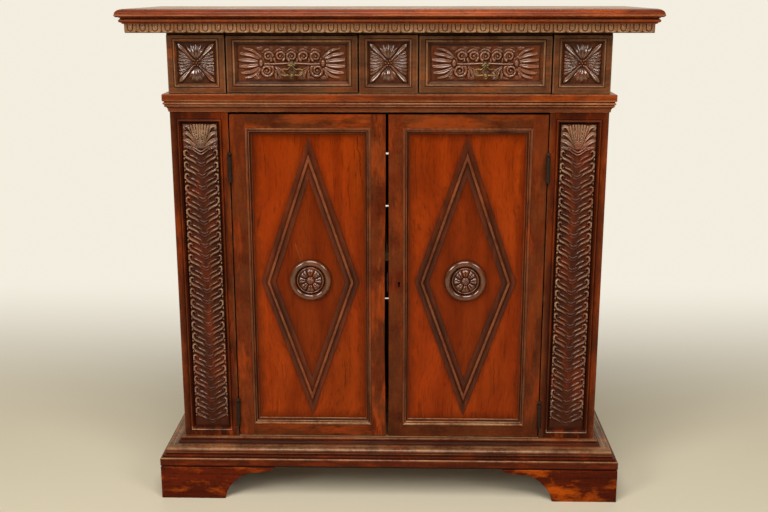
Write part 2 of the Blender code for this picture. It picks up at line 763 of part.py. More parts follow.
build_top()
build_case()
build_blocks()
build_pilaster("left_pilaster", (-half_case, -opening_half))
build_pilaster("right_pilaster", (opening_half, half_case))
build_waist()
build_base()
build_foot("front_left_foot", -1, True)
build_foot("front_right_foot", 1, True)
build_foot("rear_left_foot", -1, False)
build_foot("rear_right_foot", 1, False)
drawer_near = centre_block_width / 2 + drawer_gap
drawer_far = half_case - side_block_width - drawer_gap
build_drawer("left", (-drawer_far, -drawer_near))
build_drawer("right", (drawer_near, drawer_far))
door_far = opening_half - door_side_gap
hinge_axis = opening_half - door_side_gap / 2
build_door("left", (-door_far, meeting_offset - meeting_gap / 2), -hinge_axis)
right_edge = meeting_offset + meeting_gap / 2
build_lock(right_edge, *build_door("right", (right_edge, door_far), hinge_axis))
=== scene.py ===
import json
import math

import bmesh
import bpy
import numpy as np
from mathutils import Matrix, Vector


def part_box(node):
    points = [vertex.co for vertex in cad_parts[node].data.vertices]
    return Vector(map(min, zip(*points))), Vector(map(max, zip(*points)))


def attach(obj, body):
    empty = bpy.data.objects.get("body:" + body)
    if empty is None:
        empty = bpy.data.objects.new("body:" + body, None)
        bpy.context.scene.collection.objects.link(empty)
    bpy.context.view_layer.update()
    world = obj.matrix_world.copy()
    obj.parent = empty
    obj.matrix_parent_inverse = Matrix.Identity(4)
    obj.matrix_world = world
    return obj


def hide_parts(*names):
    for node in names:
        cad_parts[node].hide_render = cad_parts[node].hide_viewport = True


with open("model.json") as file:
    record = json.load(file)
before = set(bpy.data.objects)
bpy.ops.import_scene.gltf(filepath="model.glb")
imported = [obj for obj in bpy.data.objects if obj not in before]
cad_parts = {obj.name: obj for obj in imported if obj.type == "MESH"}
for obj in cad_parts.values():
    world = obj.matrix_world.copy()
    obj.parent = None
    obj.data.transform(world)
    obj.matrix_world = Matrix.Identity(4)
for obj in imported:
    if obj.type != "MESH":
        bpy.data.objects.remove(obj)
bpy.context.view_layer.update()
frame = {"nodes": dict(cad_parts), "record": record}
nodes = frame["nodes"]
bodies = frame["record"]["behaviour"]["bodies"]
bodyOf = {node: body for body, held in bodies.items() for node in held}
scene = bpy.context.scene
scene.view_settings.view_transform = "Standard"
mm = 0.001


# shorthand for building node trees
def setValues(tree, made, values):
    for key, value in values.items():
        if isinstance(value, bpy.types.NodeSocket):
            tree.links.new(value, made.inputs[key])
        else:
            made.inputs[key].default_value = value


def put(tree, kind, values=None, **settings):
    made = tree.nodes.new("ShaderNode" + kind)
    for key, value in settings.items():
        setattr(made, key, value)
    setValues(tree, made, values or {})
    return made


def noise(tree, vector, scale, detail=2.0, rough=0.5, warp=0.0):
    values = {"Vector": vector, "Scale": scale, "Detail": detail, "Roughness": rough, "Distortion": warp}
    return put(tree, "TexNoise", values).outputs[0]


def calc(tree, operation, a, b=0.0, clamp=False):
    return put(tree, "Math", {0: a, 1: b}, operation=operation, use_clamp=clamp).outputs[0]


def plus(tree, a, b, clamp=False):
    return calc(tree, "ADD", a, b, clamp)


def times(tree, a, b, clamp=False):
    return calc(tree, "MULTIPLY", a, b, clamp)


def ramp(tree, value, low, high, toLow=0.0, toHigh=1.0, way="LINEAR"):
    values = {"Value": value, "From Min": low, "From Max": high, "To Min": toLow, "To Max": toHigh}
    return put(tree, "MapRange", values, clamp=True, interpolation_type=way).outputs[0]


def nearness(tree, gap, reach):
    return calc(tree, "SUBTRACT", 1.0, calc(tree, "DIVIDE", gap, reach), True)


def blend(tree, share, a, b):
    a, b = ((*one, 1) if isinstance(one, tuple) else one for one in (a, b))
    return put(tree, "Mix", {0: share, 6: a, 7: b}, data_type="RGBA").outputs[2]


def vectors(tree, operation, a, b=(0, 0, 0)):
    made = put(tree, "VectorMath", {0: a, 1: b}, operation=operation)
    return made.outputs["Value" if operation in ("LENGTH", "DISTANCE", "DOT_PRODUCT") else "Vector"]


def moved(tree, vector, offset):
    return vectors(tree, "ADD", vector, offset)


def stretched(tree, vector, amount):
    return vectors(tree, "MULTIPLY", vector, amount)


def parts(tree, vector):
    return put(tree, "SeparateXYZ", {0: vector}).outputs


def seenFirst(tree):
    return put(tree, "LightPath").outputs["Is Camera Ray"]


def newMaterial(name):
    made = bpy.data.materials.new(name)
    made.use_nodes = True
    return made, made.node_tree, made.node_tree.nodes["Principled BSDF"]


def stored(tree, name):
    return put(tree, "Attribute", attribute_name=name).outputs["Fac"]


# camera, lamps and floor
cameraLook = {"place": (0.0425, -2.2536, 1.0592), "turn": (75.943, 0.052, 1.376), "focal": 49.92,
              "sensor": 36.0}
lampLooks = {
    "leftLamp": {"place": (-2.0, -2.7, 1.95), "size": 1.1, "power": 52, "tint": (1.0, 0.97, 0.92)},
    "rightLamp": {"place": (1.9, -2.5, 2.05), "size": 1.1, "power": 36, "tint": (1.0, 0.97, 0.93)},
    "highLamp": {"place": (-0.1, -1.8, 3.0), "size": 1.7, "power": 76, "tint": (1.0, 0.97, 0.92)},
}
roomLook = {"aim": (0.0, 0.0, 0.55), "glow": 0.11, "behind": 0.92, "behindFrom": (0.55, 0.85),
            "tint": (1.0, 0.91, 0.70), "paper": (0.90, 0.85, 0.74), "floor": 0.66, "floorHalf": 9.0,
            "fade": (0.15, 1.6), "fadeRound": (1.0, 2.3)}


def addItem(name, data, place=(0, 0, 0)):
    item = bpy.data.objects.new(name, data)
    scene.collection.objects.link(item)
    item.location = place
    return item


def setCamera():
    data = bpy.data.cameras.new("mainCamera")
    data.sensor_width = cameraLook["sensor"]
    data.lens = cameraLook["focal"]
    scene.camera = addItem("mainCamera", data, cameraLook["place"])
    scene.camera.rotation_euler = [math.radians(a) for a in cameraLook["turn"]]


def hangLamps():
    for name, look in lampLooks.items():
        lamp = bpy.data.lights.new(name, "AREA")
        lamp.size = look["size"]
        lamp.energy = look["power"]
        lamp.color = look["tint"]
        item = addItem(name, lamp, look["place"])
        item.rotation_euler = (Vector(roomLook["aim"]) - item.location).to_track_quat("-Z", "Y").to_euler()


# the surroundings give most light from behind the piece; the camera itself sees plain paper
def paintRoom():
    scene.world = bpy.data.worlds.new("room")
    scene.world.use_nodes = True
    tree = scene.world.node_tree
    tree.nodes.clear()
    ahead = parts(tree, put(tree, "TexCoord").outputs["Generated"])["Y"]
    strength = ramp(tree, ahead, *roomLook["behindFrom"], roomLook["glow"], roomLook["behind"])
    given = put(tree, "Background", {"Color": (*roomLook["tint"], 1), "Strength": strength}).outputs[0]
    seen = put(tree, "Background", {"Color": (*roomLook["paper"], 1)}).outputs[0]
    mix = put(tree, "MixShader", {0: seenFirst(tree), 1: given, 2: seen}).outputs[0]
    put(tree, "OutputWorld", {"Surface": mix})


# behind the piece and far from it the floor goes over into the pale background, for the camera only
def layFloor():
    mesh = bpy.data.meshes.new("floor")
    half = roomLook["floorHalf"]
    mesh.from_pydata([(-half, -half, 0), (half, -half, 0), (half, half, 0), (-half, half, 0)], [],
                     [(0, 1, 2, 3)])
    paint, tree, shader = newMaterial("paleFloor")
    setValues(tree, shader, {"Base Color": [c * roomLook["floor"] for c in roomLook["tint"]] + [1],
                             "Roughness": 0.7})
    spot = put(tree, "TexCoord").outputs["Object"]
    behind = ramp(tree, parts(tree, spot)["Y"], *roomLook["fade"], way="SMOOTHSTEP")
    away = ramp(tree, vectors(tree, "LENGTH", spot), *roomLook["fadeRound"], way="SMOOTHSTEP")
    share = times(tree, calc(tree, "MAXIMUM", behind, away), seenFirst(tree))
    glow = put(tree, "Emission", {"Color": (*roomLook["paper"], 1)}).outputs[0]
    mix = put(tree, "MixShader", {0: share, 1: shader.outputs[0], 2: glow}).outputs[0]
    tree.links.new(mix, tree.nodes["Material Output"].inputs["Surface"])
    mesh.materials.append(paint)
    addItem("floor", mesh)


setCamera()
hangLamps()
paintRoom()
layFloor()
print("stage set")


# shader groups, each built once; an input that starts as a number takes values, any other takes vectors
def newGroup(name, takes, gives):
    tree = bpy.data.node_groups.new(name, "ShaderNodeTree")
    for label, start in takes.items():
        kind = "NodeSocketFloat" if isinstance(start, float) else "NodeSocketVector"
        socket = tree.interface.new_socket(name=label, in_out="INPUT", socket_type=kind)
        if start is not None:
            socket.default_value = start
    for label in gives:
        tree.interface.new_socket(name=label, in_out="OUTPUT", socket_type="NodeSocketFloat")
    return tree, tree.nodes.new("NodeGroupInput").outputs, tree.nodes.new("NodeGroupOutput")


def useGroup(tree, group, values):
    made = tree.nodes.new("ShaderNodeGroup")
    made.node_tree = group
    setValues(tree, made, values)
    return made.outputs


# grain of a board: contour figure, fine streaks and short open pores, all drawn out along the board
def makeGrain():
    takes = {"Vector": None, "Along": (1, 1, 0.08), "Rings": 30.0}
    tree, given, out = newGroup("boardGrain", takes, ("Figure", "Streak", "Pore"))
    flat = stretched(tree, given["Vector"], given["Along"])
    bend = noise(tree, given["Vector"], 3.1, 2.0)
    sway = {0: ramp(tree, bend, 0.3, 0.7, -0.03, 0.03), 1: ramp(tree, bend, 0.3, 0.7, 0.02, -0.02)}
    warped = moved(tree, flat, put(tree, "CombineXYZ", sway).outputs[0])
    field = noise(tree, warped, 7.5, 1.0, 0.4)
    wave = calc(tree, "SINE", times(tree, field, given["Rings"]))
    soft = noise(tree, warped, 38.0, 3.0, 0.6)
    figure = plus(tree, ramp(tree, wave, -1.0, 1.0, 0.0, 0.62), times(tree, soft, 0.38))
    streak = noise(tree, warped, 240.0, 3.0, 0.65)
    pore = noise(tree, flat, 900.0, 1.0, 0.5)
    setValues(tree, out, {"Figure": figure, "Streak": streak, "Pore": ramp(tree, pore, 0.60, 0.70)})
    return tree


# where hands and dusters have rubbed the edges, and where wax and dirt have stayed; on carvings and mouldings
# the same pale and dark also paint highlight on raised parts and shade in hollows
def makeEdgeTone():
    takes = {"Vector": None, "Edge": 0.0, "Hollow": 0.0, "Amount": 1.0}
    tree, given, out = newGroup("edgeTone", takes, ("Paled", "Darkened"))
    coarse = noise(tree, given["Vector"], 21.0, 4.0, 0.6)
    fine = noise(tree, given["Vector"], 160.0, 3.0, 0.6)
    patchy = plus(tree, times(tree, coarse, 0.65), times(tree, fine, 0.35))
    strength = ramp(tree, patchy, 0.36, 0.60, 0.15, 1.0)
    paled = times(tree, times(tree, given["Edge"], strength), given["Amount"], True)
    darkened = times(tree, given["Hollow"], ramp(tree, patchy, 0.30, 0.62, 1.0, 0.72), True)
    setValues(tree, out, {"Paled": paled, "Darkened": darkened})
    return tree


# old wax: uneven gloss, faint dents and hair scratches
def makeWax():
    tree, given, out = newGroup("oldWax", {"Vector": None, "Gloss": 0.3, "Spread": 0.12},
                                ("Roughness", "Height"))
    cloud = noise(tree, given["Vector"], 11.0, 4.0, 0.6)
    smear = noise(tree, stretched(tree, given["Vector"], (3.0, 3.0, 0.4)), 45.0, 3.0, 0.6)
    uneven = plus(tree, times(tree, cloud, 0.6), times(tree, smear, 0.4))
    half = times(tree, calc(tree, "SUBTRACT", uneven, 0.5), times(tree, given["Spread"], 4.0))
    dents = noise(tree, given["Vector"], 26.0, 2.0, 0.5)
    hairs = noise(tree, stretched(tree, given["Vector"], (1.0, 1.0, 0.05)), 1300.0, 1.0, 0.5)
    height = plus(tree, dents, times(tree, hairs, 0.10))
    setValues(tree, out, {"Roughness": plus(tree, given["Gloss"], half, True), "Height": height})
    return tree


# a split or a scratch along a line between two points
def makeSplit():
    tree, given, out = newGroup("splitLine", {"Vector": None, "Start": None, "End": None, "Width": 0.001},
                                ("Mask",))
    wobble = noise(tree, given["Vector"], 60.0, 3.0, 0.6)
    push = put(tree, "CombineXYZ", {0: ramp(tree, wobble, 0.3, 0.7, -0.0022, 0.0022)}).outputs[0]
    point = vectors(tree, "SUBTRACT", moved(tree, given["Vector"], push), given["Start"])
    line = vectors(tree, "SUBTRACT", given["End"], given["Start"])
    keep = (1, 0, 1)
    point, line = stretched(tree, point, keep), stretched(tree, line, keep)
    across, length = vectors(tree, "DOT_PRODUCT", point, line), vectors(tree, "DOT_PRODUCT", line, line)
    share = calc(tree, "DIVIDE", across, length, True)
    foot = put(tree, "VectorMath", {0: line, "Scale": share}, operation="SCALE").outputs[0]
    gap = vectors(tree, "DISTANCE", point, foot)
    taper = times(tree, given["Width"], ramp(tree, share, 0.0, 1.0, 1.0, 0.35))
    setValues(tree, out, {"Mask": nearness(tree, gap, taper)})
    return tree


grainGroup, edgeToneGroup, waxGroup, splitGroup = makeGrain(), makeEdgeTone(), makeWax(), makeSplit()
uprightGrain, levelGrain, deepGrain = (1.0, 1.0, 0.06), (0.06, 1.0, 1.0), (1.0, 0.06, 1.0)


def mapHeight(tree, pairs, start=None):
    total = start
    for value, amount in pairs:
        part = times(tree, value, amount)
        total = part if total is None else plus(tree, total, part)
    return total


# dirt and painted shade beside the mouldings of a door panel, and the darker ground inside the lozenge
def makeBeside():
    takes = {"Vector": None, "Centre": None, "Half": None, "Lozenge": None, "Reach": 0.02}
    tree, given, out = newGroup("besideMoulding", takes, ("DirtAndShade", "Inside"))
    apart = vectors(tree, "ABSOLUTE", vectors(tree, "SUBTRACT", given["Vector"], given["Centre"]))
    left = parts(tree, vectors(tree, "SUBTRACT", given["Half"], apart))
    border = calc(tree, "MINIMUM", left["X"], left["Z"])
    share = parts(tree, vectors(tree, "DIVIDE", apart, given["Lozenge"]))
    both = plus(tree, share["X"], share["Z"])
    width = parts(tree, given["Lozenge"])["X"]
    away = times(tree, calc(tree, "SUBTRACT", both, 1.0), times(tree, width, 0.94))
    rough = ramp(tree, noise(tree, given["Vector"], 34.0, 4.0, 0.65), 0.3, 0.7, 0.45, 1.5)
    reach = times(tree, given["Reach"], rough)
    near = times(tree, reach, 0.55)
    outer = nearness(tree, calc(tree, "ABSOLUTE", away), near)
    inner = nearness(tree, calc(tree, "ABSOLUTE", plus(tree, away, 0.0275)), near)
    beside = times(tree, calc(tree, "MAXIMUM", outer, inner), 0.8)
    dirtAndShade = calc(tree, "MAXIMUM", nearness(tree, border, reach), beside)
    setValues(tree, out, {"DirtAndShade": dirtAndShade, "Inside": ramp(tree, away, -0.020, -0.032)})
    return tree


besideGroup = makeBeside()


# every wood on the piece: body colours, grain direction, patches, wear and wax, with painted highlight and
# painted shade where the edge and hollow values carry them
def makeWood(name, look):
    made, tree, shader = newMaterial(name)
    spot = put(tree, "TexCoord").outputs["Object"]
    place = moved(tree, spot, look["offset"])
    grain = useGroup(tree, grainGroup, {"Vector": place, "Along": look["along"], "Rings": look["rings"]})
    edge, hollow = stored(tree, "edge"), stored(tree, "hollow")
    tones = useGroup(tree, edgeToneGroup, {"Vector": place, "Edge": edge, "Hollow": hollow, "Amount": look["paleAmount"]})
    wax = useGroup(tree, waxGroup, {"Vector": place, "Gloss": look["gloss"], "Spread": look["spread"]})
    deep = look["deep"]
    tone = plus(tree, times(tree, grain["Figure"], look["figure"]),
                times(tree, grain["Streak"], 1.0 - look["figure"]))
    tone = ramp(tree, tone, 0.5 - look["soft"], 0.5 + look["soft"])
    colour = blend(tree, tone, look["dark"], look["light"])
    drawn = stretched(tree, place, look["patchAlong"])
    patch = ramp(tree, noise(tree, drawn, look["patchScale"], 5.0, 0.68), 0.50, 0.62)
    colour = blend(tree, times(tree, patch, look["patchAmount"]), colour, look["patch"])
    blot = ramp(tree, noise(tree, moved(tree, drawn, (5, 3, 1)), look["patchScale"] * 1.3, 5.0, 0.7), 0.50,
                0.66)
    cloud = ramp(tree, noise(tree, place, 5.0, 3.0, 0.6), 0.38, 0.66)
    colour = blend(tree, times(tree, calc(tree, "MAXIMUM", blot, cloud), look["stain"]), colour, deep)
    lines = times(tree, ramp(tree, grain["Streak"], 0.44, 0.34), look["lines"])
    colour = blend(tree, lines, colour, deep)
    colour = blend(tree, times(tree, grain["Pore"], look["pore"]), colour, deep)
    # pale colour on edges: wear, and on carvings and mouldings partly painted highlight; deep colour in
    # hollows: dirt, and partly painted shade
    colour = blend(tree, tones["Paled"], colour, look["paleColour"])
    colour = blend(tree, tones["Darkened"], colour, deep)
    rough = plus(tree, wax["Roughness"], times(tree, tones["Darkened"], 0.30), True)
    high = mapHeight(tree, [(wax["Height"], look["dents"]), (grain["Streak"], 0.10), (grain["Pore"], -0.16)])
    # painted shade with dirt beside the panel mouldings, and the darker ground inside the lozenge, on the
    # front face only
    if "panel" in look:
        beside = useGroup(tree, besideGroup, dict(look["panel"], Vector=spot))
        facing = parts(tree, put(tree, "TexCoord").outputs["Normal"])["Y"]
        inside, dirtAndShade = (ramp(tree, facing, -0.3, -0.7, 0.0, look[key]) for key in ("inside", "beside"))
        colour = blend(tree, times(tree, beside["Inside"], inside), colour, deep)
        colour = blend(tree, times(tree, beside["DirtAndShade"], dirtAndShade), colour, deep)
    for start, end, width, amount in look.get("splits", ()):
        mask = useGroup(tree, splitGroup, {"Vector": spot, "Start": start, "End": end,
                                           "Width": width})["Mask"]
        shade = deep if amount > 0 else look["paleColour"]
        colour = blend(tree, ramp(tree, mask, 0.1, 0.7, 0.0, abs(amount)), colour, shade)
        high = mapHeight(tree, [(mask, -2.0 * amount)], high)
    bump = put(tree, "Bump", {"Strength": look["bump"], "Distance": 0.0012, "Height": high})
    setValues(tree, shader, {"Base Color": colour, "Roughness": rough, "Normal": bump.outputs[0],
                             "Specular IOR Level": look["shine"]})
    if "polish" in look:
        kept = ramp(tree, hollow, 0.04, 0.40, look["polish"], 0.0)
        if look.get("polishHigh"):
            kept = ramp(tree, edge, 0.45, 0.95, 0.0, look["polish"])
        setValues(tree, shader, {"Coat Weight": kept, "Coat Roughness": look["polishGloss"],
                                 "Coat IOR": look.get("polishDepth", 1.55)})
    return made


plainWalnut = {
    "dark": (0.058, 0.0062, 0.0012), "light": (0.150, 0.0155, 0.0018), "deep": (0.017, 0.0036, 0.0014),
    "paleColour": (0.25, 0.070, 0.018), "paleAmount": 0.26, "stain": 0.66, "pore": 0.50, "lines": 0.45,
    "patch": (0.36, 0.046, 0.0025), "patchScale": 34.0, "patchAlong": (1, 1, 0.26), "patchAmount": 0.75,
    "along": uprightGrain, "offset": (0, 0, 0), "rings": 26.0, "figure": 0.55, "soft": 0.26,
    "gloss": 0.30, "spread": 0.10, "dents": 0.25, "bump": 0.17, "shine": 0.06,
}
panelWalnut = dict(plainWalnut, dark=(0.150, 0.0155, 0.0010), light=(0.270, 0.031, 0.0020),
                   patch=(0.34, 0.052, 0.004), patchAmount=0.40, patchScale=7.0, patchAlong=(1, 1, 0.16),
                   stain=0.26, rings=42.0, figure=0.60, soft=0.32, gloss=0.26, dents=0.35,
                   deep=(0.050, 0.0072, 0.0010), inside=0.40, beside=0.60)
# carved wood: its pale colour on ridges is partly wear and partly painted highlight
carvedWalnut = dict(plainWalnut, dark=(0.088, 0.0212, 0.0058), light=(0.178, 0.048, 0.0126),
                    paleColour=(0.24, 0.098, 0.038), deep=(0.0125, 0.0034, 0.0012), patch=(0.26, 0.050, 0.010),
                    patchAmount=0.35, stain=0.22, gloss=0.40, spread=0.08, paleAmount=0.80, figure=0.35, dents=0.12,
                    bump=0.25, shine=0.10, lines=0.2, polish=1.0, polishGloss=0.12, polishDepth=1.8)
mouldedWalnut = dict(plainWalnut, dark=(0.056, 0.0110, 0.0034), light=(0.125, 0.0240, 0.0058),
                     paleColour=(0.25, 0.092, 0.036), paleAmount=0.62, stain=0.45, deep=(0.014, 0.0045, 0.0022),
                     along=levelGrain, gloss=0.27, shine=0.09, patchAmount=0.50, patchAlong=(0.26, 1, 1),
                     lines=0.3)
innerPoplar = dict(plainWalnut, dark=(0.20, 0.105, 0.045), light=(0.36, 0.215, 0.105),
                   deep=(0.07, 0.035, 0.015), paleColour=(0.42, 0.28, 0.15), patch=(0.28, 0.15, 0.06),
                   patchAmount=0.35, stain=0.35, gloss=0.62, spread=0.06, pore=0.35, paleAmount=0.4,
                   along=levelGrain, bump=0.5, patchScale=12.0, patchAlong=(0.3, 1, 1))
pilasterWalnut = dict(plainWalnut, offset=(4, 6, 2), dark=(0.036, 0.0058, 0.0016),
                      light=(0.088, 0.0130, 0.0026))
mouldedUpright = dict(mouldedWalnut, along=uprightGrain, offset=(2, 4, 6), patchAlong=(1, 1, 0.26))


# where a door's panel and lozenge lie, and the marks time has left on the panels
def panelPlace(side):
    low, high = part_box(side + "_door_panel_moulding")
    small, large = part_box(side + "_door_lozenge")
    centre, inset = (low + high) / 2, 0.012
    return {"Centre": centre[:], "Half": ((high.x - low.x) / 2 - inset, 1.0, (high.z - low.z) / 2 - inset),
            "Lozenge": ((large.x - small.x) / 2, 1.0, (large.z - small.z) / 2), "Reach": 0.020}


leftSplits = [((-0.064, 0, 0.770), (-0.053, 0, 0.668), 0.0016, 1.0),
              ((-0.252, 0, 0.735), (-0.250, 0, 0.690), 0.0011, 0.8),
              ((-0.193, 0, 0.548), (-0.180, 0, 0.505), 0.0013, -0.7),
              ((-0.182, 0, 0.540), (-0.177, 0, 0.512), 0.0010, -0.6)]
rightSplits = [((0.223, 0, 0.30), (0.226, 0, 0.19), 0.0010, 0.7)]
woodLooks = {
    "walnutUpright": plainWalnut,
    "walnutLevel": dict(plainWalnut, along=levelGrain, patchAlong=(0.26, 1, 1), offset=(3, 1, 2),
                        dark=(0.036, 0.0050, 0.0014), light=(0.112, 0.0170, 0.0032), patchAmount=0.6),
    "walnutSide": dict(plainWalnut, offset=(7, 2, 1), patchAmount=0.34, patchScale=22.0,
                       patchAlong=(1, 1, 0.07), stain=0.40, dark=(0.052, 0.0066, 0.0014),
                       light=(0.128, 0.0150, 0.0022)),
    "pilaster": dict(pilasterWalnut, patchAmount=0.34, paleAmount=0.6),
    # lighter copies for the sill runs: painted highlight on upward faces lit from above
    "pilasterLitSill": dict(pilasterWalnut, paleColour=(0.46, 0.290, 0.165), paleAmount=1.0),
    "litSill": dict(mouldedWalnut, offset=(1, 1, 7), paleColour=(0.42, 0.240, 0.120), paleAmount=1.0),
    "rightStile": dict(plainWalnut, offset=(11, 6, 5), dark=(0.040, 0.0052, 0.0013),
                       light=(0.098, 0.0108, 0.0018), patchAmount=0.34),
    "walnutFeet": dict(plainWalnut, along=levelGrain, offset=(1, 5, 2), patch=(0.46, 0.072, 0.002),
                       patchAmount=0.95, stain=0.5, patchScale=24.0, patchAlong=(0.4, 1, 1)),
    # the pale colour paints highlight lines along the nosing of the top
    "topLevel": dict(plainWalnut, along=levelGrain, offset=(5, 3, 1), dark=(0.130, 0.0160, 0.0022),
                     light=(0.275, 0.038, 0.0040), patch=(0.42, 0.066, 0.005), patchAlong=(0.12, 1, 1),
                     patchAmount=0.55, stain=0.30, gloss=0.24, shine=0.14, paleColour=(0.30, 0.112, 0.038),
                     paleAmount=0.75),
    "bed": dict(mouldedWalnut, offset=(9, 1, 4), dark=(0.120, 0.0210, 0.0050), light=(0.240, 0.044, 0.0085),
                stain=0.25),
    "carved": carvedWalnut,
    "carvedBlock": dict(carvedWalnut, offset=(3, 2, 9), dark=(0.052, 0.0140, 0.0045),
                        light=(0.108, 0.0315, 0.0098)),
    # pale colour raised to paint highlights on the crests of the pilaster carving, partly wear
    "carvedPilaster": dict(carvedWalnut, dark=(0.054, 0.0112, 0.0032), light=(0.104, 0.0225, 0.0062),
                           paleColour=(0.36, 0.215, 0.122), patch=(0.22, 0.030, 0.004), patchAmount=0.6,
                           polishDepth=1.55),
    "moulded": mouldedWalnut,
    "mouldedUpright": dict(mouldedUpright, paleColour=(0.20, 0.072, 0.028)),
    # the pale colour paints the highlight line on the lozenge crest
    "lozenge": dict(mouldedUpright, dark=(0.050, 0.0090, 0.0022), light=(0.108, 0.0195, 0.0044),
                    patch=(0.22, 0.030, 0.003), patchAmount=0.35, paleColour=(0.34, 0.112, 0.044),
                    deep=(0.014, 0.0034, 0.0012), paleAmount=1.0, polish=0.22, polishGloss=0.24),
    "framing": dict(plainWalnut, along=levelGrain, offset=(6, 1, 4), dark=(0.060, 0.0190, 0.0064),
                    light=(0.130, 0.043, 0.0138), paleColour=(0.31, 0.160, 0.082), patch=(0.32, 0.068, 0.009),
                    patchAmount=0.45, patchScale=24.0, patchAlong=(0.4, 1, 1), shine=0.12, paleAmount=0.7),
    # pale colour raised to paint highlights on the frieze pads, partly wear
    "frieze": dict(carvedWalnut, along=levelGrain, dark=(0.165, 0.060, 0.0195), light=(0.280, 0.124, 0.047),
                   paleColour=(0.52, 0.320, 0.170), deep=(0.036, 0.0110, 0.0042), shine=0.12, gloss=0.3,
                   patchAmount=0.20, polish=0.5),
    "boss": dict(carvedWalnut, offset=(1, 8, 2), dark=(0.040, 0.0072, 0.0014), light=(0.094, 0.0182, 0.0034),
                 paleColour=(0.24, 0.090, 0.026), paleAmount=0.7, polishGloss=0.09, polishDepth=1.6),
    "waist": dict(mouldedWalnut, offset=(8, 2, 3), dark=(0.110, 0.0200, 0.0045), light=(0.225, 0.042, 0.0080),
                  patch=(0.40, 0.062, 0.004), patchAlong=(0.2, 1, 1), paleColour=(0.36, 0.150, 0.064), paleAmount=0.8),
    # the pale colour paints the highlight band on the ovolo, and with wear the pale edges
    "base": dict(mouldedWalnut, offset=(2, 7, 5), dark=(0.040, 0.0052, 0.0012), light=(0.094, 0.0120, 0.0020),
                 patch=(0.28, 0.034, 0.002), paleColour=(0.38, 0.185, 0.078), paleAmount=0.78, polish=0.4,
                 polishGloss=0.24, polishHigh=True),
    "poplar": innerPoplar,
    "poplarDeep": dict(innerPoplar, along=deepGrain, offset=(4, 0, 3)),
    "leftPanel": dict(panelWalnut, offset=(0.3, 0, 0.2), splits=leftSplits, panel=panelPlace("left")),
    "rightPanel": dict(panelWalnut, offset=(2.4, 0, 1.1), splits=rightSplits, panel=panelPlace("right"),
                       dark=(0.165, 0.0175, 0.0012), light=(0.300, 0.036, 0.0026)),
}
woods = {name: makeWood(name, look) for name, look in woodLooks.items()}
print("woods:", len(woods))


# brass and iron: tarnish in the hollows, bright where they are handled
def makeMetal(name, look):
    made, tree, shader = newMaterial(name)
    spot = put(tree, "TexCoord").outputs["Object"]
    edge, hollow = stored(tree, "edge"), stored(tree, "hollow")
    tones = useGroup(tree, edgeToneGroup, {"Vector": spot, "Edge": edge, "Hollow": hollow, "Amount": 0.9})
    wax = useGroup(tree, waxGroup, {"Vector": stretched(tree, spot, (4, 4, 4)), "Gloss": look["gloss"],
                                    "Spread": 0.12})
    cloud = ramp(tree, noise(tree, spot, look["scale"], 4.0, 0.65), 0.40, 0.62)
    colour = blend(tree, cloud, look["bright"], look["dull"])
    colour = blend(tree, tones["Paled"], colour, look["paled"])
    colour = blend(tree, tones["Darkened"], colour, look["deep"])
    rough = plus(tree, wax["Roughness"], times(tree, cloud, 0.18), True)
    high = mapHeight(tree, [(noise(tree, spot, 420.0, 3.0, 0.6), 0.6), (wax["Height"], 0.4)])
    bump = put(tree, "Bump", {"Strength": look["bump"], "Distance": 0.0006, "Height": high})
    setValues(tree, shader, {"Base Color": colour, "Roughness": rough, "Normal": bump.outputs[0],
                             "Metallic": look["metal"], "Specular IOR Level": look["shine"]})
    return made


brass = makeMetal("agedBrass", {"bright": (0.100, 0.060, 0.026), "dull": (0.034, 0.018, 0.009),
                                "paled": (0.46, 0.300, 0.125), "deep": (0.010, 0.006, 0.003), "gloss": 0.26,
                                "scale": 90.0, "bump": 0.35, "metal": 1.0, "shine": 0.5})
iron = makeMetal("darkIron", {"bright": (0.018, 0.012, 0.009), "dull": (0.010, 0.006, 0.004),
                              "paled": (0.028, 0.017, 0.011), "deep": (0.006, 0.004, 0.003), "gloss": 0.50,
                              "scale": 120.0, "bump": 0.5, "metal": 0.3, "shine": 0.12})


# a finished mesh becomes a piece of its body and stands for its node
sharpAt = {"board": 38, "carving": 62, "boss": 58, "moulding": 48, "metal": 50}  # degrees


def addPiece(node, mesh, material, kind):
    mesh.shade_smooth()
    mesh.set_sharp_from_angle(angle=math.radians(sharpAt[kind]))
    if kind == "board":  # faces along the axes are shaded flat
        slanted = [max(abs(part) for part in f.normal) < 0.9999 for f in mesh.polygons]
        mesh.polygons.foreach_set("use_smooth", slanted)
    for one in material if isinstance(material, (list, tuple)) else (material,):
        mesh.materials.append(one)
    piece = addItem(node + "Look", mesh)
    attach(piece, bodyOf[node])
    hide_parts(node)
    return piece


def storeValues(mesh, **values):
    for name, numbers in values.items():
        held = mesh.attributes.new(name, "FLOAT", "POINT")
        held.data.foreach_set("value", np.clip(np.asarray(numbers, np.float32).ravel(), 0, 1))


def meshFrom(name, points, faces):
    mesh = bpy.data.meshes.new(name)
    mesh.from_pydata(points, [], faces)
    mesh.update()
    return mesh


# boards: the solid's own faces with eased arrises, and a rubbed band along each arris
boardLook = {"arris": 0.0011, "band": 0.0055}


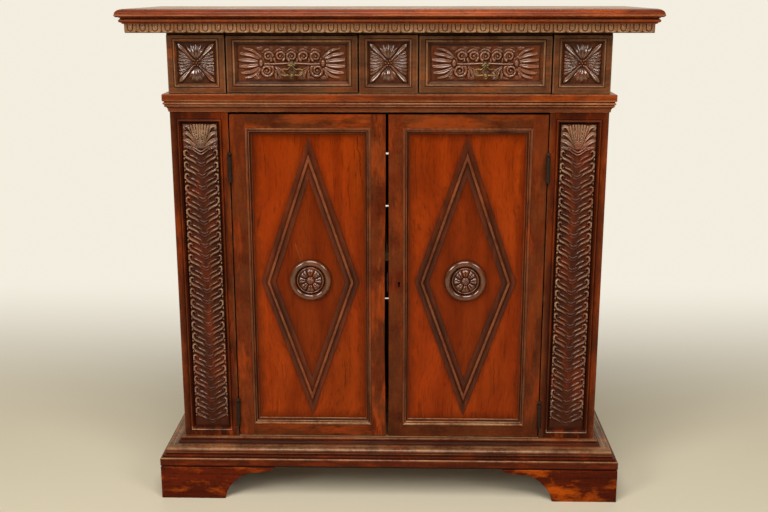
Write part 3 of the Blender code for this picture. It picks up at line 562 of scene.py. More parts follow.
def easedBoard(node, material, arris=None, band=None, cuts=(), choose=None, angle=32, bare=False, bend=None):
    shape = bmesh.new()
    shape.from_mesh(nodes[node].data)
    bmesh.ops.remove_doubles(shape, verts=shape.verts, dist=1e-5)
    for point, normal in cuts:
        held = shape.verts[:] + shape.edges[:] + shape.faces[:]
        bmesh.ops.bisect_plane(shape, geom=held, plane_co=point, plane_no=normal)
    for corner in shape.verts if bend else ():
        corner.co.x += bend(corner.co)
    if choose:
        for face in shape.faces:
            face.material_index = choose(face.calc_center_median())
    bmesh.ops.dissolve_limit(shape, angle_limit=math.radians(0.6), verts=shape.verts, edges=shape.edges,
                             delimit={"MATERIAL"})
    limit = math.radians(angle)
    sharp = [e for e in shape.edges if len(e.link_faces) == 2 and e.calc_face_angle(0) > limit]
    bmesh.ops.bevel(shape, geom=sharp, offset=arris or boardLook["arris"], segments=2, profile=0.55,
                    affect="EDGES", clamp_overlap=True)
    band = band or boardLook["band"]
    wide = [f for f in shape.faces
            if min(e.calc_length() for e in f.edges) > 2.2 * band and f.material_index < 2]
    before = set() if bare else set(shape.verts)
    if wide and not bare:
        bmesh.ops.inset_individual(shape, faces=wide, thickness=band, use_even_offset=True)
    paled = [1.0 if v in before else 0.0 for v in shape.verts]
    mesh = bpy.data.meshes.new(node + "Look")
    shape.to_mesh(mesh)
    shape.free()
    storeValues(mesh, edge=paled)
    piece = addPiece(node, mesh, material, "board")
    piece.modifiers.new("evenShade", "WEIGHTED_NORMAL").keep_sharp = True
    return piece


boardFinish = {
    "left_side_board": "walnutSide", "right_side_board": "walnutSide",
    "front_left_foot": "walnutFeet", "front_right_foot": "walnutFeet", "rear_left_foot": "walnutFeet",
               "rear_right_foot": "walnutFeet",
    "left_door_panel": "leftPanel", "right_door_panel": "rightPanel",
    "back_board": "poplar", "bottom_board": "poplar", "dust_board": "poplar", "middle_shelf": "poplar",
    "left_drawer_guide": "poplarDeep", "centre_drawer_guide": "poplarDeep",
               "right_drawer_guide": "poplarDeep",
}
for side in ("left", "right"):
    for wall in ("left_wall", "right_wall"):
        boardFinish[side + "_drawer_" + wall] = "poplarDeep"
    boardFinish[side + "_drawer_back"] = "poplar"
    boardFinish[side + "_drawer_bottom"] = "poplar"
for node, finish in boardFinish.items():
    easedBoard(node, woods[finish], bare=node.endswith("foot") or node == "back_board")

# door frames: two upright stiles with the rails between them; the meeting edges are planed hollow,
# as share of the height and share of the hollow
doorLook = {
    "stile": 30 * mm, "key": (0.456, 0.474), "woods": {"left": "walnutUpright", "right": "rightStile"},
    "hollow": {
        "left": (-2.7 * mm, ((0, 0.1), (0.12, 0.6), (0.3, 1), (0.45, 0.9), (0.6, 0.7), (0.8, 0), (1, 0))),
        "right": (1.1 * mm, ((0, 0), (0.06, 0.5), (0.13, 0.95), (0.5, 1), (0.85, 0.95), (1, 0.6))),
    },
}
for side in ("left", "right"):
    node = side + "_door_frame"
    low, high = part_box(node)
    inner = (low.x + doorLook["stile"], high.x - doorLook["stile"])
    cuts = [((x, 0, 0), (1, 0, 0)) for x in inner]
    if side == "right":
        cuts += [((0, 0, z), (0, 0, 1)) for z in doorLook["key"]]
    depth, course = doorLook["hollow"][side]
    levels, shares = zip(*((low.z + t * (high.z - low.z), share) for t, share in course))
    cuts += [((0, 0, z), (0, 0, 1)) for z in levels[1:-1]]
    meeting = high.x if side == "left" else low.x

    def hollowEdge(spot, meeting=meeting, depth=depth, levels=levels, shares=shares):
        return depth * np.interp(spot.z, levels, shares) if abs(spot.x - meeting) < 1e-5 else 0.0

    def chooseSlot(centre, inner=inner, side=side):
        atKey = side == "right" and centre.x < inner[0] and doorLook["key"][0] < centre.z < doorLook["key"][1]
        return 2 if atKey else int(inner[0] < centre.x < inner[1])

    stile = woods[doorLook["woods"][side]]
    easedBoard(node, (stile, woods["walnutLevel"], stile), band=3 * mm, cuts=cuts, choose=chooseSlot,
               bend=hollowEdge)

# ironwork keeps its solids, with eased corners
for side in ("left", "right"):
    for hinge in ("upper", "lower"):
        for half in ("pin", "eye"):
            easedBoard(f"{side}_{hinge}_hinge_{half}", iron, arris=0.0003, band=0.002, angle=40)
easedBoard("lock_case", iron, arris=0.0005, band=0.003)
easedBoard("lock_bolt", iron, arris=0.0005, band=0.002)
print("boards and ironwork eased")


# carving tools: heights in millimetres on a grid, one cut at a time
cutShapes = {
    "round": lambda d: np.sqrt(np.clip(1 - d * d, 0, 1)),
    "ridge": lambda d: np.clip(1 - d, 0, 1) ** 0.75,
    "soft": lambda d: np.clip(1 - d * d, 0, 1) ** 1.4,
}


def newField(cx, cz):
    return {"cx": np.asarray(cx, float), "cz": np.asarray(cz, float), "h": np.zeros((len(cz), len(cx)))}


def smoothPath(points, step=0.6):
    pts = np.asarray(points, float)
    run = np.vstack([2 * pts[0] - pts[1], pts, 2 * pts[-1] - pts[-2]])
    rows = []
    for a, b, c, d in zip(run[:-3], run[1:-2], run[2:-1], run[3:]):
        count = max(2, int(math.hypot(c[0] - b[0], c[1] - b[1]) / step))
        t = np.linspace(0, 1, count, endpoint=False)[:, None]
        rows.append(0.5 * (2 * b + (c - a) * t + (2 * a - 5 * b + 4 * c - d) * t ** 2
                           + (3 * b - a - 3 * c + d) * t ** 3))
    rows = np.vstack(rows + [pts[-1:]])
    rows[:, 2] = np.maximum(rows[:, 2], 0.3)
    return rows


def work(field, window, d, shape, mode, moat):
    h = field["h"][window]
    inside = d < 1
    if mode == "over":
        if moat:
            ring = (d >= 1) & (d < 1 + moat)
            h[ring] *= 0.35
        h[inside] = np.maximum(shape, 0.2 * h)[inside]
    elif mode == "join":
        h[inside] = np.maximum(h, shape)[inside]
    elif mode == "add":
        h[inside] += shape[inside]
    else:
        h[inside] -= shape[inside]


# a gouge stroke along a path of (x, z, half width, height)
def stroke(field, path, profile="round", mode="over", moat=0.0):
    pts = smoothPath(path)
    reach = pts[:, 2].max() * (1 + moat) + 0.1
    i0, i1 = np.searchsorted(field["cx"], [pts[:, 0].min() - reach, pts[:, 0].max() + reach])
    j0, j1 = np.searchsorted(field["cz"], [pts[:, 1].min() - reach, pts[:, 1].max() + reach])
    if i0 >= i1 or j0 >= j1:
        return
    gx, gz = field["cx"][i0:i1], field["cz"][j0:j1]
    rel = np.sqrt((gx[None, :, None] - pts[:, 0]) ** 2 + (gz[:, None, None] - pts[:, 1]) ** 2) / pts[:, 2]
    k = rel.argmin(-1)
    d = np.take_along_axis(rel, k[..., None], -1)[..., 0]
    work(field, (slice(j0, j1), slice(i0, i1)), d, cutShapes[profile](d) * pts[k, 3], mode, moat)


# a bead, berry or oval hollow
def bead(field, x, z, rx, rz, high, turn=0.0, profile="round", mode="over", moat=0.35):
    reach = max(rx, rz) * (1 + moat)
    i0, i1 = np.searchsorted(field["cx"], [x - reach, x + reach])
    j0, j1 = np.searchsorted(field["cz"], [z - reach, z + reach])
    if i0 >= i1 or j0 >= j1:
        return
    gx, gz = np.meshgrid(field["cx"][i0:i1] - x, field["cz"][j0:j1] - z)
    c, s = turnOf(turn)
    d = np.hypot((gx * c + gz * s) / rx, (gz * c - gx * s) / rz)
    work(field, (slice(j0, j1), slice(i0, i1)), d, cutShapes[profile](d) * high, mode, moat)


def turnOf(degrees):
    return math.cos(math.radians(degrees)), math.sin(math.radians(degrees))


def mirrored(path, way=-1):
    return [(way * p[0],) + tuple(p[1:]) for p in path]


def shifted(path, dx=0.0, dz=0.0, high=1.0):
    return [(p[0] + dx, p[1] + dz, p[2], p[3] * high) for p in path]


def turnedPath(path, degrees, dx=0.0, dz=0.0):
    c, s = turnOf(degrees)
    return [(p[0] * c - p[1] * s + dx, p[0] * s + p[1] * c + dz, p[2], p[3]) for p in path]


def scroll(x, z, radius, start, turns, thick, high, way=1):
    path = []
    count = max(8, int(turns * 14))
    for i in range(count + 1):
        t = i / count
        angle = math.radians(start) + way * t * turns * math.tau
        r = radius * (1 - 0.78 * t)
        path.append((x + r * math.cos(angle), z + r * math.sin(angle), thick * (1 - 0.45 * t),
                     high * (1 - 0.12 * t)))
    return path


def softTaps(size):
    reach = int(3 * size) + 1
    taps = np.exp(-0.5 * (np.arange(-reach, reach + 1) / size) ** 2)
    return reach, taps / taps.sum()


def blurred(h, size):
    reach, taps = softTaps(size)
    for axis in (0, 1):
        wide = np.pad(h, [(reach, reach) if a == axis else (0, 0) for a in (0, 1)], mode="edge")
        count = h.shape[axis]
        h = sum(w * np.take(wide, range(i, i + count), axis=axis) for i, w in enumerate(taps))
    return h


# paler on what stands out, partly wear and partly painted highlight; darker in what lies deep and on the low
# ground, partly dirt and partly painted shade
def reliefValues(h, cells, scale):
    gap = h - blurred(h, cells)
    broad = h - blurred(h, cells * 3)
    ground = 0.40 * np.clip((3.0 - (h - h.min())) / 1.6, 0, 1)
    edge = np.clip((gap * 0.7 + broad * 0.3) / scale, 0, 1)
    return edge, np.maximum(np.clip(-(gap * 0.55 + broad * 0.45) / scale, 0, 1), ground)


def frontRect(node):
    low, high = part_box(node)
    return low.x / mm, high.x / mm, low.z / mm, high.z / mm


def borderGap(gx, gz, x0, x1, z0, z1):
    return np.minimum(np.minimum(gx - x0, x1 - gx), np.minimum(gz - z0, z1 - gz))


def quadsOf(index):
    return np.stack([index[:-1, :-1], index[:-1, 1:], index[1:, 1:], index[1:, :-1]], -1).reshape(-1,
                                                                                                  4).tolist()


# a carved board: front grid, straight edges with a clean lip, and a flat back
proud = 1.5 * mm  # the framing's bead stands this far in front of a board's face
lipDepth = 1.5 * mm


def carvedBoard(node, cx, cz, rise, front, material, cells, scale, fieldRect=None, extra=None, dirtAndShade=None,
                crisp=0.0):
    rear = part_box(node)[1].y
    nx, nz = len(cx), len(cz)
    gx, gz = np.meshgrid(cx, cz)
    grid = np.column_stack([gx.ravel() * mm, front - rise.ravel() * mm, gz.ravel() * mm])
    index = np.arange(nx * nz).reshape(nz, nx)
    quads = quadsOf(index)
    ring = list(index[0, :-1]) + list(index[:-1, -1]) + list(index[-1, :0:-1]) + list(index[:0:-1, 0])
    lip, back = grid[ring].copy(), grid[ring].copy()
    lip[:, 1] = np.minimum(lip[:, 1] + lipDepth, (lip[:, 1] + rear) / 2)
    back[:, 1] = rear
    count = len(ring)
    rows = [ring, list(range(nx * nz, nx * nz + count)), list(range(nx * nz + count, nx * nz + 2 * count))]
    walls = [(a[i - 1], b[i - 1], b[i], a[i]) for a, b in zip(rows, rows[1:]) for i in list(range(1, count))
             + [0]]
    faces = quads + walls + [tuple(rows[2][::-1])]
    mesh = meshFrom(node + "Look", np.vstack([grid, lip, back]).tolist(), faces)
    edge, hollow = reliefValues(rise, cells, scale)
    edge = np.clip((edge - crisp) / (1 - crisp), 0, 1)
    if extra is not None:
        edge = np.maximum(edge, extra)
    if dirtAndShade is not None:
        edge, hollow = extra, dirtAndShade
    pad = np.zeros(2 * count)
    storeValues(mesh, edge=np.concatenate([edge.ravel(), pad]), hollow=np.concatenate([hollow.ravel(), pad]))
    if fieldRect is not None:
        x0, x1, z0, z1 = fieldRect
        middle = np.column_stack([(cx[:-1, None] + cx[1:, None]).T.repeat(nz - 1, 0).ravel() / 2,
                                  ((cz[:-1] + cz[1:]) / 2).repeat(nx - 1)])
        outside = (middle[:, 0] < x0) | (middle[:, 0] > x1) | (middle[:, 1] < z0) | (middle[:, 1] > z1)
        mark = np.ones(len(faces), int)
        mark[:len(quads)] = outside
        mesh.polygons.foreach_set("material_index", mark)
    return addPiece(node, mesh, material, "carving")


# grid lines: close together across the framing, even over the field
def gridLines(low, high, steps, pitch):
    inner0, inner1 = low + steps[-1], high - steps[-1]
    middle = np.linspace(inner0, inner1, max(3, int(round((inner1 - inner0) / pitch)) + 1))
    return np.concatenate([low + np.asarray(steps[:-1]), middle, high - np.asarray(steps[:-1])[::-1]])


# framing round a carved field, as (distance from the edge, rise above the face)
def framing(flat, moulding, recess):
    points = [(0, -0.9), (0.35, -0.3), (0.9, -0.03), (1.6, 0)]
    points += [(d, 0) for d in (3.9, 4.5, 5.2, 6.6) if flat]
    points += [(flat - 1.4, 0), (flat - 0.6, -0.15), (flat, -1.3), (flat + 0.7, -0.9)]
    wide = 0.40 * moulding
    for i in range(7):
        turn = math.pi * i / 6
        points.append((flat + 0.9 + wide * (1 - math.cos(turn)) / 2, -0.5 + 1.9 * math.sin(turn)))
    lower = flat + 0.9 + wide
    points.append((lower + 0.35, -1.9))
    span = flat + moulding - lower - 1.3
    for i in range(1, 7):
        t = i / 6
        points.append((lower + 0.35 + span * t, -1.9 - (recess - 2.9) * (1 - math.cos(math.pi / 2 * t))))
    points += [(flat + moulding - 0.5, -recess + 0.9), (flat + moulding, -recess)]
    return np.asarray(points)


# block: a leaf from each corner, a veined leaf above and below, flutes at both sides, berries in the middle
blockLook = {"flat": 11.5, "moulding": 8.5, "recess": 6.0, "rebate": 3.4, "pitch": 0.65, "seed": 11}
drawerLook = {"flat": 11.5, "moulding": 11.5, "recess": 6.0, "rebate": 3.4, "pitch": 0.7, "seed": 23}


def fluted(field, path, moat, depth=0.42):
    stroke(field, path, moat=moat)
    stroke(field, [(p[0], p[1], p[2] * 0.5, p[3] * depth) for p in path], "soft", "cut")


def carveBlock(field, wide, tall, chance):
    hx, hz = wide / 2, tall / 2
    field["h"][:] = 0.3
    for way in (-1, 1):
        for i in (-3, 3, -2, 2, -1, 1, 0):
            high = 4.3 + chance.uniform(-0.3, 0.3)
            fluted(field, [(way * 8.5, i * 1.9, 1.4, 2.2), (way * hx * 0.58, i * 5.2, 2.9, high),
                           (way * (hx - 3.2 - 0.6 * abs(i)), i * 7.0, 3.2, 3.4)], 0.14)
    for way, veins in ((1, 2.4), (-1, 1.1)):
        bead(field, 0, way * hz * 0.60, hx * 0.54, hz * 0.40, 3.2, 0, "soft", "over", 0.1)
        for spread in (-56, 56, -28, 28, 0):
            c, s = turnOf(spread)
            vein = [(s * 3.0, way * 9.0, 1.2, veins * 0.5), (s * hx * 0.40, way * hz * 0.58, 2.9, veins),
                    (s * hx * 0.58, way * hz * (0.64 + 0.30 * c), 2.4, veins * 0.7)]
            stroke(field, vein, "ridge", "add")
    for sx in (-1, 1):
        for sz in (-1, 1):
            body = [(sx * 3.5, sz * 3.5, 1.7, 4.2), (sx * hx * 0.40, sz * hz * 0.40, 2.6, 5.2),
                    (sx * hx * 0.66, sz * hz * 0.66, 5.0, 5.8), (sx * hx * 0.82, sz * hz * 0.82, 4.6, 5.4),
                    (sx * (hx - 1.8), sz * (hz - 1.8), 1.2, 3.0)]
            fluted(field, body, 0.20, 0.34)
    bead(field, 0, 0, 5.4, 5.4, 3.4)
    for turn in range(0, 360, 60):
        c, s = turnOf(turn)
        bead(field, 5.4 * c, 5.4 * s, 2.3, 2.3, 4.8, moat=0.2)
    bead(field, 0, 0, 2.5, 2.5, 5.4)


# drawer: a row of scrolls above the stem, larger ones below, long leaves towards both ends
endLobes = ((28.5, 33, 3.4), (-29.0, 32, 3.4), (18.5, 40, 4.4), (-19.5, 40, 4.4), (6.2, 43, 4.8),
            (-6.6, 43, 4.8))


def carveDrawer(field, wide, tall, chance):
    hx, hz = wide / 2, tall / 2
    field["h"][:] = 0.4
    for k in range(-3, 4):
        for way in (1, -1):
            bead(field, k * 22.0 + 3.0 * way, way * (hz - 6.0), 12.5, 6.5, 2.4 + chance.uniform(-0.3, 0.3), 0,
                 "soft", "join", 0.0)
    for k in range(-2, 3):
        x, way = k * 23.4, 1 if k >= 0 else -1
        fluted(field, [(x - 11.5, 20.5, 1.6, 3.0), (x - 2.0, 26.8, 2.8, 4.6), (x + 9.5, 22.0, 1.6, 3.2)],
               0.25)
        stroke(field, scroll(x, 13.5, 10.2, 235 if way > 0 else 305, 1.45, 3.4, 5.2, -way), moat=0.22)
        bead(field, x, 13.5, 3.0, 3.0, 5.2)
        stroke(field, [(x + way * 11.7, 8.0, 4.2, 5.5), (x + way * 9.6, 2.6, 2.6, 5.0),
                       (x + way * 7.0, -2.0, 1.2, 4.2)], "ridge", "over", 0.25)
    for way in (-1, 1):
        for lean, foot in ((-36.0, -27.0), (-27.0, -29.5), (-18.0, -30.0), (20.0, -28.0)):
            top = chance.uniform(-7.5, -5.5)
            fluted(field, [(way * (50 + lean * 0.45), top, 1.9, 3.4),
                           (way * (50 + lean * 0.9), -18.0, 4.0, 5.0), (way * (50 + lean), foot, 2.2, 3.2)],
                   0.18, 0.36)
        stroke(field, scroll(way * 50.0, -14.5, 13.6, 105 if way > 0 else 75, 1.75, 3.8, 5.5, way), moat=0.26)
        bead(field, way * 50.0, -14.5, 3.2, 3.2, 5.4)
    bead(field, 0, -16, 8.5, 12.5, 4.4, 0, "soft")
    for turn in (-38, 0, 38):
        stroke(field, turnedPath([(0, 2, 1.2, 1.0), (0, -12, 2.2, 2.0), (0, -19, 0.8, 1.0)], turn, 0, -8),
               "ridge", "add")
    stem = [(-66, -1.0, 2.0, 3.0), (-40, -1.8, 2.2, 4.0), (0, -0.5, 2.4, 4.2), (40, -1.8, 2.2, 4.0),
            (66, -1.0, 2.0, 3.0)]
    stroke(field, stem, moat=0.3)
    for way in (-1, 1):
        root = way * (hx - 46.5)
        for tip, length, half in endLobes:
            length += chance.uniform(-1.5, 0.8)
            fluted(field, [(root, tip * 0.35, 1.8, 2.8), (root + way * 0.5 * length, tip * 0.84, half, 5.4),
                           (root + way * length, tip, half * 0.7, 3.8)], 0.14, 0.36)
        bead(field, root + way * 1.0, 0, 4.6, 7.6, 5.4)
        bead(field, root + way * 1.0, 0, 2.0, 3.4, 1.4, 0, "soft", "cut")


def framedCarving(node, look, carve, seed, wood):
    x0, x1, z0, z1 = frontRect(node)
    profile = framing(look["flat"], look["moulding"], look["recess"])
    cx = gridLines(x0, x1, profile[:, 0], look["pitch"])
    cz = gridLines(z0, z1, profile[:, 0], look["pitch"])
    inset = look["flat"] + look["moulding"]
    wide, tall = x1 - x0 - 2 * inset, z1 - z0 - 2 * inset
    field = newField(cx - (x0 + x1) / 2, cz - (z0 + z1) / 2)
    carve(field, wide, tall, np.random.default_rng(seed))
    gx, gz = np.meshgrid(cx, cz)
    away = borderGap(gx, gz, x0, x1, z0, z1)
    rise = np.interp(away, profile[:, 0], profile[:, 1])
    inside = away > inset
    fade = np.clip((away - inset) / 2.0, 0, 1)
    relief = np.clip(blurred(field["h"], 0.7), -0.5, 5.6) * fade
    rise = np.where(inside, -look["recess"] + relief, rise)
    rise -= look["rebate"] * np.clip((4.8 - (z1 - gz)) / 0.5, 0, 1)
    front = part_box(node)[0].y + proud
    rect = (x0 + inset - 0.4, x1 - inset + 0.4, z0 + inset - 0.4, z1 - inset + 0.4)
    arris = np.clip(1 - away / 3.0, 0, 1) * 0.8
    return carvedBoard(node, cx, cz, rise, front, (woods[wood], woods["framing"]), 2.4, 1.5, rect, arris)


for number, name in enumerate(("left_carved_block", "centre_carved_block", "right_carved_block")):
    framedCarving(name, blockLook, carveBlock, blockLook["seed"] + number, "carvedBlock")
for number, name in enumerate(("left_drawer_front", "right_drawer_front")):
    framedCarving(name, drawerLook, carveDrawer, drawerLook["seed"] + number, "carved")
print("blocks and drawer fronts carved")


# pilaster panel: a palmette at the head, then a stem with hooked leaves on both sides
pilasterLook = {"pitch": 0.8, "unit": 24.3, "first": -57.0, "plain": 3.0, "seed": 5, "ground": 0.6,
                "moulding": 9.3, "recess": 9.9}
hookRidge = [(25.4, -1.4, 1.6, 4.2), (28.2, 2.6, 2.4, 5.8), (32.4, 1.4, 3.1, 7.0), (33.4, -4.6, 3.4, 7.4),
             (30.2, -10.4, 3.5, 7.4), (24.0, -14.0, 3.5, 7.0), (17.4, -17.6, 3.2, 6.2),
             (12.2, -21.6, 2.5, 5.0), (10.2, -25.6, 1.6, 3.2)]
innerRidge = [(23.4, -5.6, 1.6, 3.4), (18.0, -8.0, 2.6, 4.8), (12.4, -11.0, 2.5, 4.2), (7.6, -14.8, 2.0, 3.2),
              (4.6, -18.6, 1.4, 2.4)]


def carvePilaster(field, look, chance):
    field["h"][:] = look["ground"]
    depth = -field["cz"].min()
    count = int((depth + look["first"] - look["plain"]) / look["unit"])
    for row in range(count):
        z = look["first"] - row * look["unit"]
        fade = 1.0 - 0.5 * (row / count) ** 5
        for high, drop in ((2.6, 0.0), (2.1, 6.0)):
            stroke(field, [(-8.0, z - 21 - drop, 1.2, high), (0, z - 25 - drop, 1.9, high * 0.9),
                           (8.0, z - 21 - drop, 1.2, high)], "round", "join")
        for way in (1, -1):
            lift, push = chance.uniform(-0.6, 0.6), chance.uniform(-0.4, 0.4)
            ridge = shifted(hookRidge, push, z + lift, fade * chance.uniform(0.94, 1.04))
            inner = shifted(innerRidge, push * 0.5, z + lift, fade * chance.uniform(0.92, 1.04))
            stroke(field, mirrored(inner, way), moat=0.35)
            stroke(field, mirrored(ridge, way), moat=0.34)
            bead(field, way * (26.6 + push), z - 5.0 + lift, 1.7, 1.7, 4.0 * fade, moat=0.4)
            bead(field, way * 33.6, z - 13.4 + lift, 2.3, 4.0, 6.0 * fade, way * 8)
    carvePalmette(field, chance)


palmLeaves = [
    [(6, -57, 1.8, 3.6), (14, -52.5, 3.4, 5.0), (23, -48.5, 4.0, 5.8), (31.5, -47.5, 2.6, 4.8)],
    [(7, -49, 1.8, 4.2), (16, -41, 4.6, 7.0), (26, -34.5, 5.2, 7.8), (33, -33.5, 3.0, 6.0)],
    [(8, -42, 1.6, 4.4), (16, -29, 3.8, 7.0), (25, -20, 4.6, 8.2), (32.0, -19.5, 3.2, 6.8),
     (33.0, -24.5, 2.0, 5.4)],
    [(9, -34, 1.6, 4.8), (16, -18, 3.6, 7.2), (22, -7.0, 4.2, 8.4), (29.0, -4.2, 3.8, 8.0),
     (32.4, -8.6, 2.8, 6.8), (29.5, -12.0, 1.8, 5.6)],
]


def carvePalmette(field, chance):
    field["h"][field["cz"] > -52] = 2.6
    for way in (-1, 1):
        for leaf in palmLeaves:
            fluted(field, mirrored(leaf, way), 0.12, 0.36)
    for i in (-3, 3, -2, 2, -1, 1, 0):
        top = -2.2 - 0.25 * i * i + chance.uniform(-0.5, 0.5)
        flute = [(i * 1.2, -51, 1.0, 4.0), (i * 2.7, -37, 2.0, 6.8), (i * 4.4, -20, 2.7, 8.4),
                 (i * 5.8, top, 2.7, 8.4)]
        fluted(field, flute, 0.12, 0.30)
    for drop in (0, 5.6):
        collar = [(-19, -45 - drop, 1.2, 3.6), (-9, -52.0 - drop, 1.9, 5.2), (0, -56.5 - drop, 2.2, 5.8),
                  (9, -52.0 - drop, 1.9, 5.2), (19, -45 - drop, 1.2, 3.6)]
        stroke(field, collar, moat=0.35)


for number, node in enumerate(("left_pilaster_carving", "right_pilaster_carving")):
    x0, x1, z0, z1 = frontRect(node)
    edges = [0.0, 0.4, 0.9, 1.6]
    cx, cz = gridLines(x0, x1, edges, pilasterLook["pitch"]), gridLines(z0, z1, edges, pilasterLook["pitch"])
    field = newField(cx - (x0 + x1) / 2, cz - z1)
    carvePilaster(field, pilasterLook, np.random.default_rng(pilasterLook["seed"] + number))
    gx, gz = np.meshgrid(cx, cz)
    away = borderGap(gx, gz, x0, x1, z0, z1)
    rise = np.clip(blurred(field["h"], 0.7), 0.2, 8.8) * np.clip(away / 1.2, 0, 1)
    # painted highlight on the raised parts of the palmette at the head
    headHighlight = 0.80 * np.clip((gz - z1 + 54) / 6, 0, 1) * np.clip((rise - 2.2) / 4.4, 0, 1)
    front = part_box(node)[1].y - 1.0 * mm
    carvedBoard(node, cx, cz, rise, front, woods["carvedPilaster"], 2.6, 2.7, None, headHighlight, crisp=0.30)


# the board a pilaster panel is let into, its framing run like that of the blocks
def buildPilaster(node):
    wide = pilasterLook["moulding"]
    profile = framing(0.0, wide, pilasterLook["recess"])
    profile = profile[profile[:, 0] >= 0]
    a0, a1, b0, b1 = frontRect(node + "_carving")
    rect = [a0 - wide, a1 + wide, b0 - wide, b1 + wide]
    x0, x1, z0, z1 = frontRect(node)
    steps, ease = np.unique(np.round(profile[:, 0], 3)), np.asarray([0.0, 0.35, 0.9, 1.6])

    def lines(start, end, low, high, count):
        middle = np.linspace(low + wide + 4, high - wide - 4, count)
        return np.concatenate([start + ease, [low - 2.0, low - 0.7], low + steps, middle,
                               (high - steps)[::-1], [high + 0.7, high + 2.0], end - ease[::-1]])

    cx, cz = lines(x0, x1, rect[0], rect[1], 12), lines(z0, z1, rect[2], rect[3], 60)
    gx, gz = np.meshgrid(cx, cz)
    away = borderGap(gx, gz, *rect)
    rise = np.interp(away, profile[:, 0], profile[:, 1], left=0.0)
    rise[away < 0] = np.where(away[away < 0] > -0.5, -0.5, 0.0)
    fromEdge = np.minimum(gx - x0, x1 - gx)
    rise = np.where(fromEdge < 1.6, np.interp(fromEdge, ease, [-0.9, -0.3, -0.03, 0.0]), rise)
    # pale crest of the framing: full strength on the sill run as a painted highlight from above, half
    # strength on the other runs
    crest = np.clip(1 - np.abs(away - 0.9 - 0.2 * wide) / 1.6, 0, 1) * (away > 0)
    litSill = gz - rect[2] <= away + 0.01
    arris = np.clip(1 - fromEdge / 3.0, 0, 1) * np.where(gz < rect[2] + wide, 0.15, 1.0)
    arris = np.maximum(arris, crest * np.where(litSill, 1.0, 0.5))
    # darker along the foot of the framing and in the quirk at its outer edge
    darkened = np.clip(1 - np.abs(away - wide + 1.5) / 4.0, 0, 1) + np.clip(1 - np.abs(away) / 1.2, 0, 1)
    aboveSill = (x0 - 1, x1 + 1, rect[2] + wide, z1 + 1)
    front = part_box(node)[0].y + proud
    carvedBoard(node, cx, cz, rise, front, (woods["pilaster"], woods["pilasterLitSill"]), 1.0, 4.0, aboveSill,
                arris, darkened)


buildPilaster("left_pilaster")
buildPilaster("right_pilaster")
print("pilasters framed and carved")


# frieze: rounded pads with a gouged bow in each, round the front and both ends
friezeLook = {"units": 42, "sideUnits": 13, "pitch": 0.85, "seed": 3}


def carveFrieze(along, level, length, units, tall, chance):
    pitch = length / units
    number = np.clip((along / pitch).astype(int), 0, units - 1)
    jitter = chance.uniform(-0.35, 0.35, units)[number]
    x = along - (number + 0.5) * pitch + jitter
    z = level - tall / 2
    ax = np.abs(x)
    half, corner = pitch / 2 - 0.5, 5.0
    dx = np.maximum(ax - (half - corner), 0)
    dz = np.maximum(-z - (tall / 2 - corner - 0.6), 0)
    outside = np.where(z < 0, np.hypot(dx, dz) - corner, ax - half)
    h = -np.clip(outside + 0.8, 0, 1.9) ** 1.25 * 1.05
    lower = -1.2
    bow = np.where(z > lower, np.abs(ax - 5.1), np.abs(np.hypot(x, z - lower) - 5.1))
    h -= 1.7 * np.sqrt(np.clip(1 - (bow / 1.15) ** 2, 0, 1))
    tongue = np.hypot(x / 2.0, (z - 4.0) / 3.6)
    h -= 0.6 * np.clip(1 - tongue ** 2, 0, 1)
    h -= 0.8 * np.clip((np.abs(z - 9.0) - tall + 17.5), 0, 1)
    return h


def buildFrieze():
    node = "frieze_board"
    low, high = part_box(node)
    chance = np.random.default_rng(friezeLook["seed"])
    tall = (high.z - low.z) / mm
    cz = np.linspace(0, tall, int(tall / friezeLook["pitch"]) + 1)
    columns, rises = [], []
    runs = [((low.x, high.y), (low.x, low.y), (1, 0)), ((low.x, low.y), (high.x, low.y), (0, 1)),
            ((high.x, low.y), (high.x, high.y), (-1, 0))]
    for number, (start, end, inward) in enumerate(runs):
        length = math.hypot(end[0] - start[0], end[1] - start[1]) / mm
        along = np.linspace(0, length, int(length / friezeLook["pitch"]) + 1)
        grid, level = np.meshgrid(along, cz)
        units = friezeLook["units"] if number == 1 else friezeLook["sideUnits"]
        h = carveFrieze(grid, level, length, units, tall, chance)
        for i in range(1 if number else 0, len(along)):
            t = along[i] / length
            base = (start[0] + (end[0] - start[0]) * t, start[1] + (end[1] - start[1]) * t)
            mitre = i == len(along) - 1 and number < 2
            lead = np.add(inward, runs[number + 1][2]) if mitre else np.array(inward)
            columns.append((base, lead))
            rises.append(np.minimum(h[:, i], -0.6 if mitre else 0.0))
    rise = np.stack(rises, 1)
    rise[:, [0, -1]] = 0
    points = []
    for j, z in enumerate(cz):
        for i, (base, lead) in enumerate(columns):
            points.append((base[0] - lead[0] * rise[j, i] * mm, base[1] - lead[1] * rise[j, i] * mm,
                           low.z + z * mm))
    nx, nz = len(columns), len(cz)
    index = np.arange(nx * nz).reshape(nz, nx)
    caps = [index[0, ::-1].tolist(), index[-1].tolist(), index[:, 0].tolist() + index[::-1, -1].tolist()]
    mesh = meshFrom(node + "Look", points, quadsOf(index) + caps)
    edge, hollow = reliefValues(rise, 2.4, 1.0)
    storeValues(mesh, edge=edge, hollow=hollow)
    addPiece(node, mesh, woods["frieze"], "carving")


buildFrieze()
print("frieze carved")


# door bosses: a turned torus and rim round a carved flower
bossLook = {"spokes": 168, "petals": 8, "seeds": 8, "drawn": 42.0, "ring": (35.5, 6.5), "rim": (25.6, 1.6),
            "leaf": (15.6, 8.2), "bud": 8.2, "crown": 13.6, "border": 3.6}


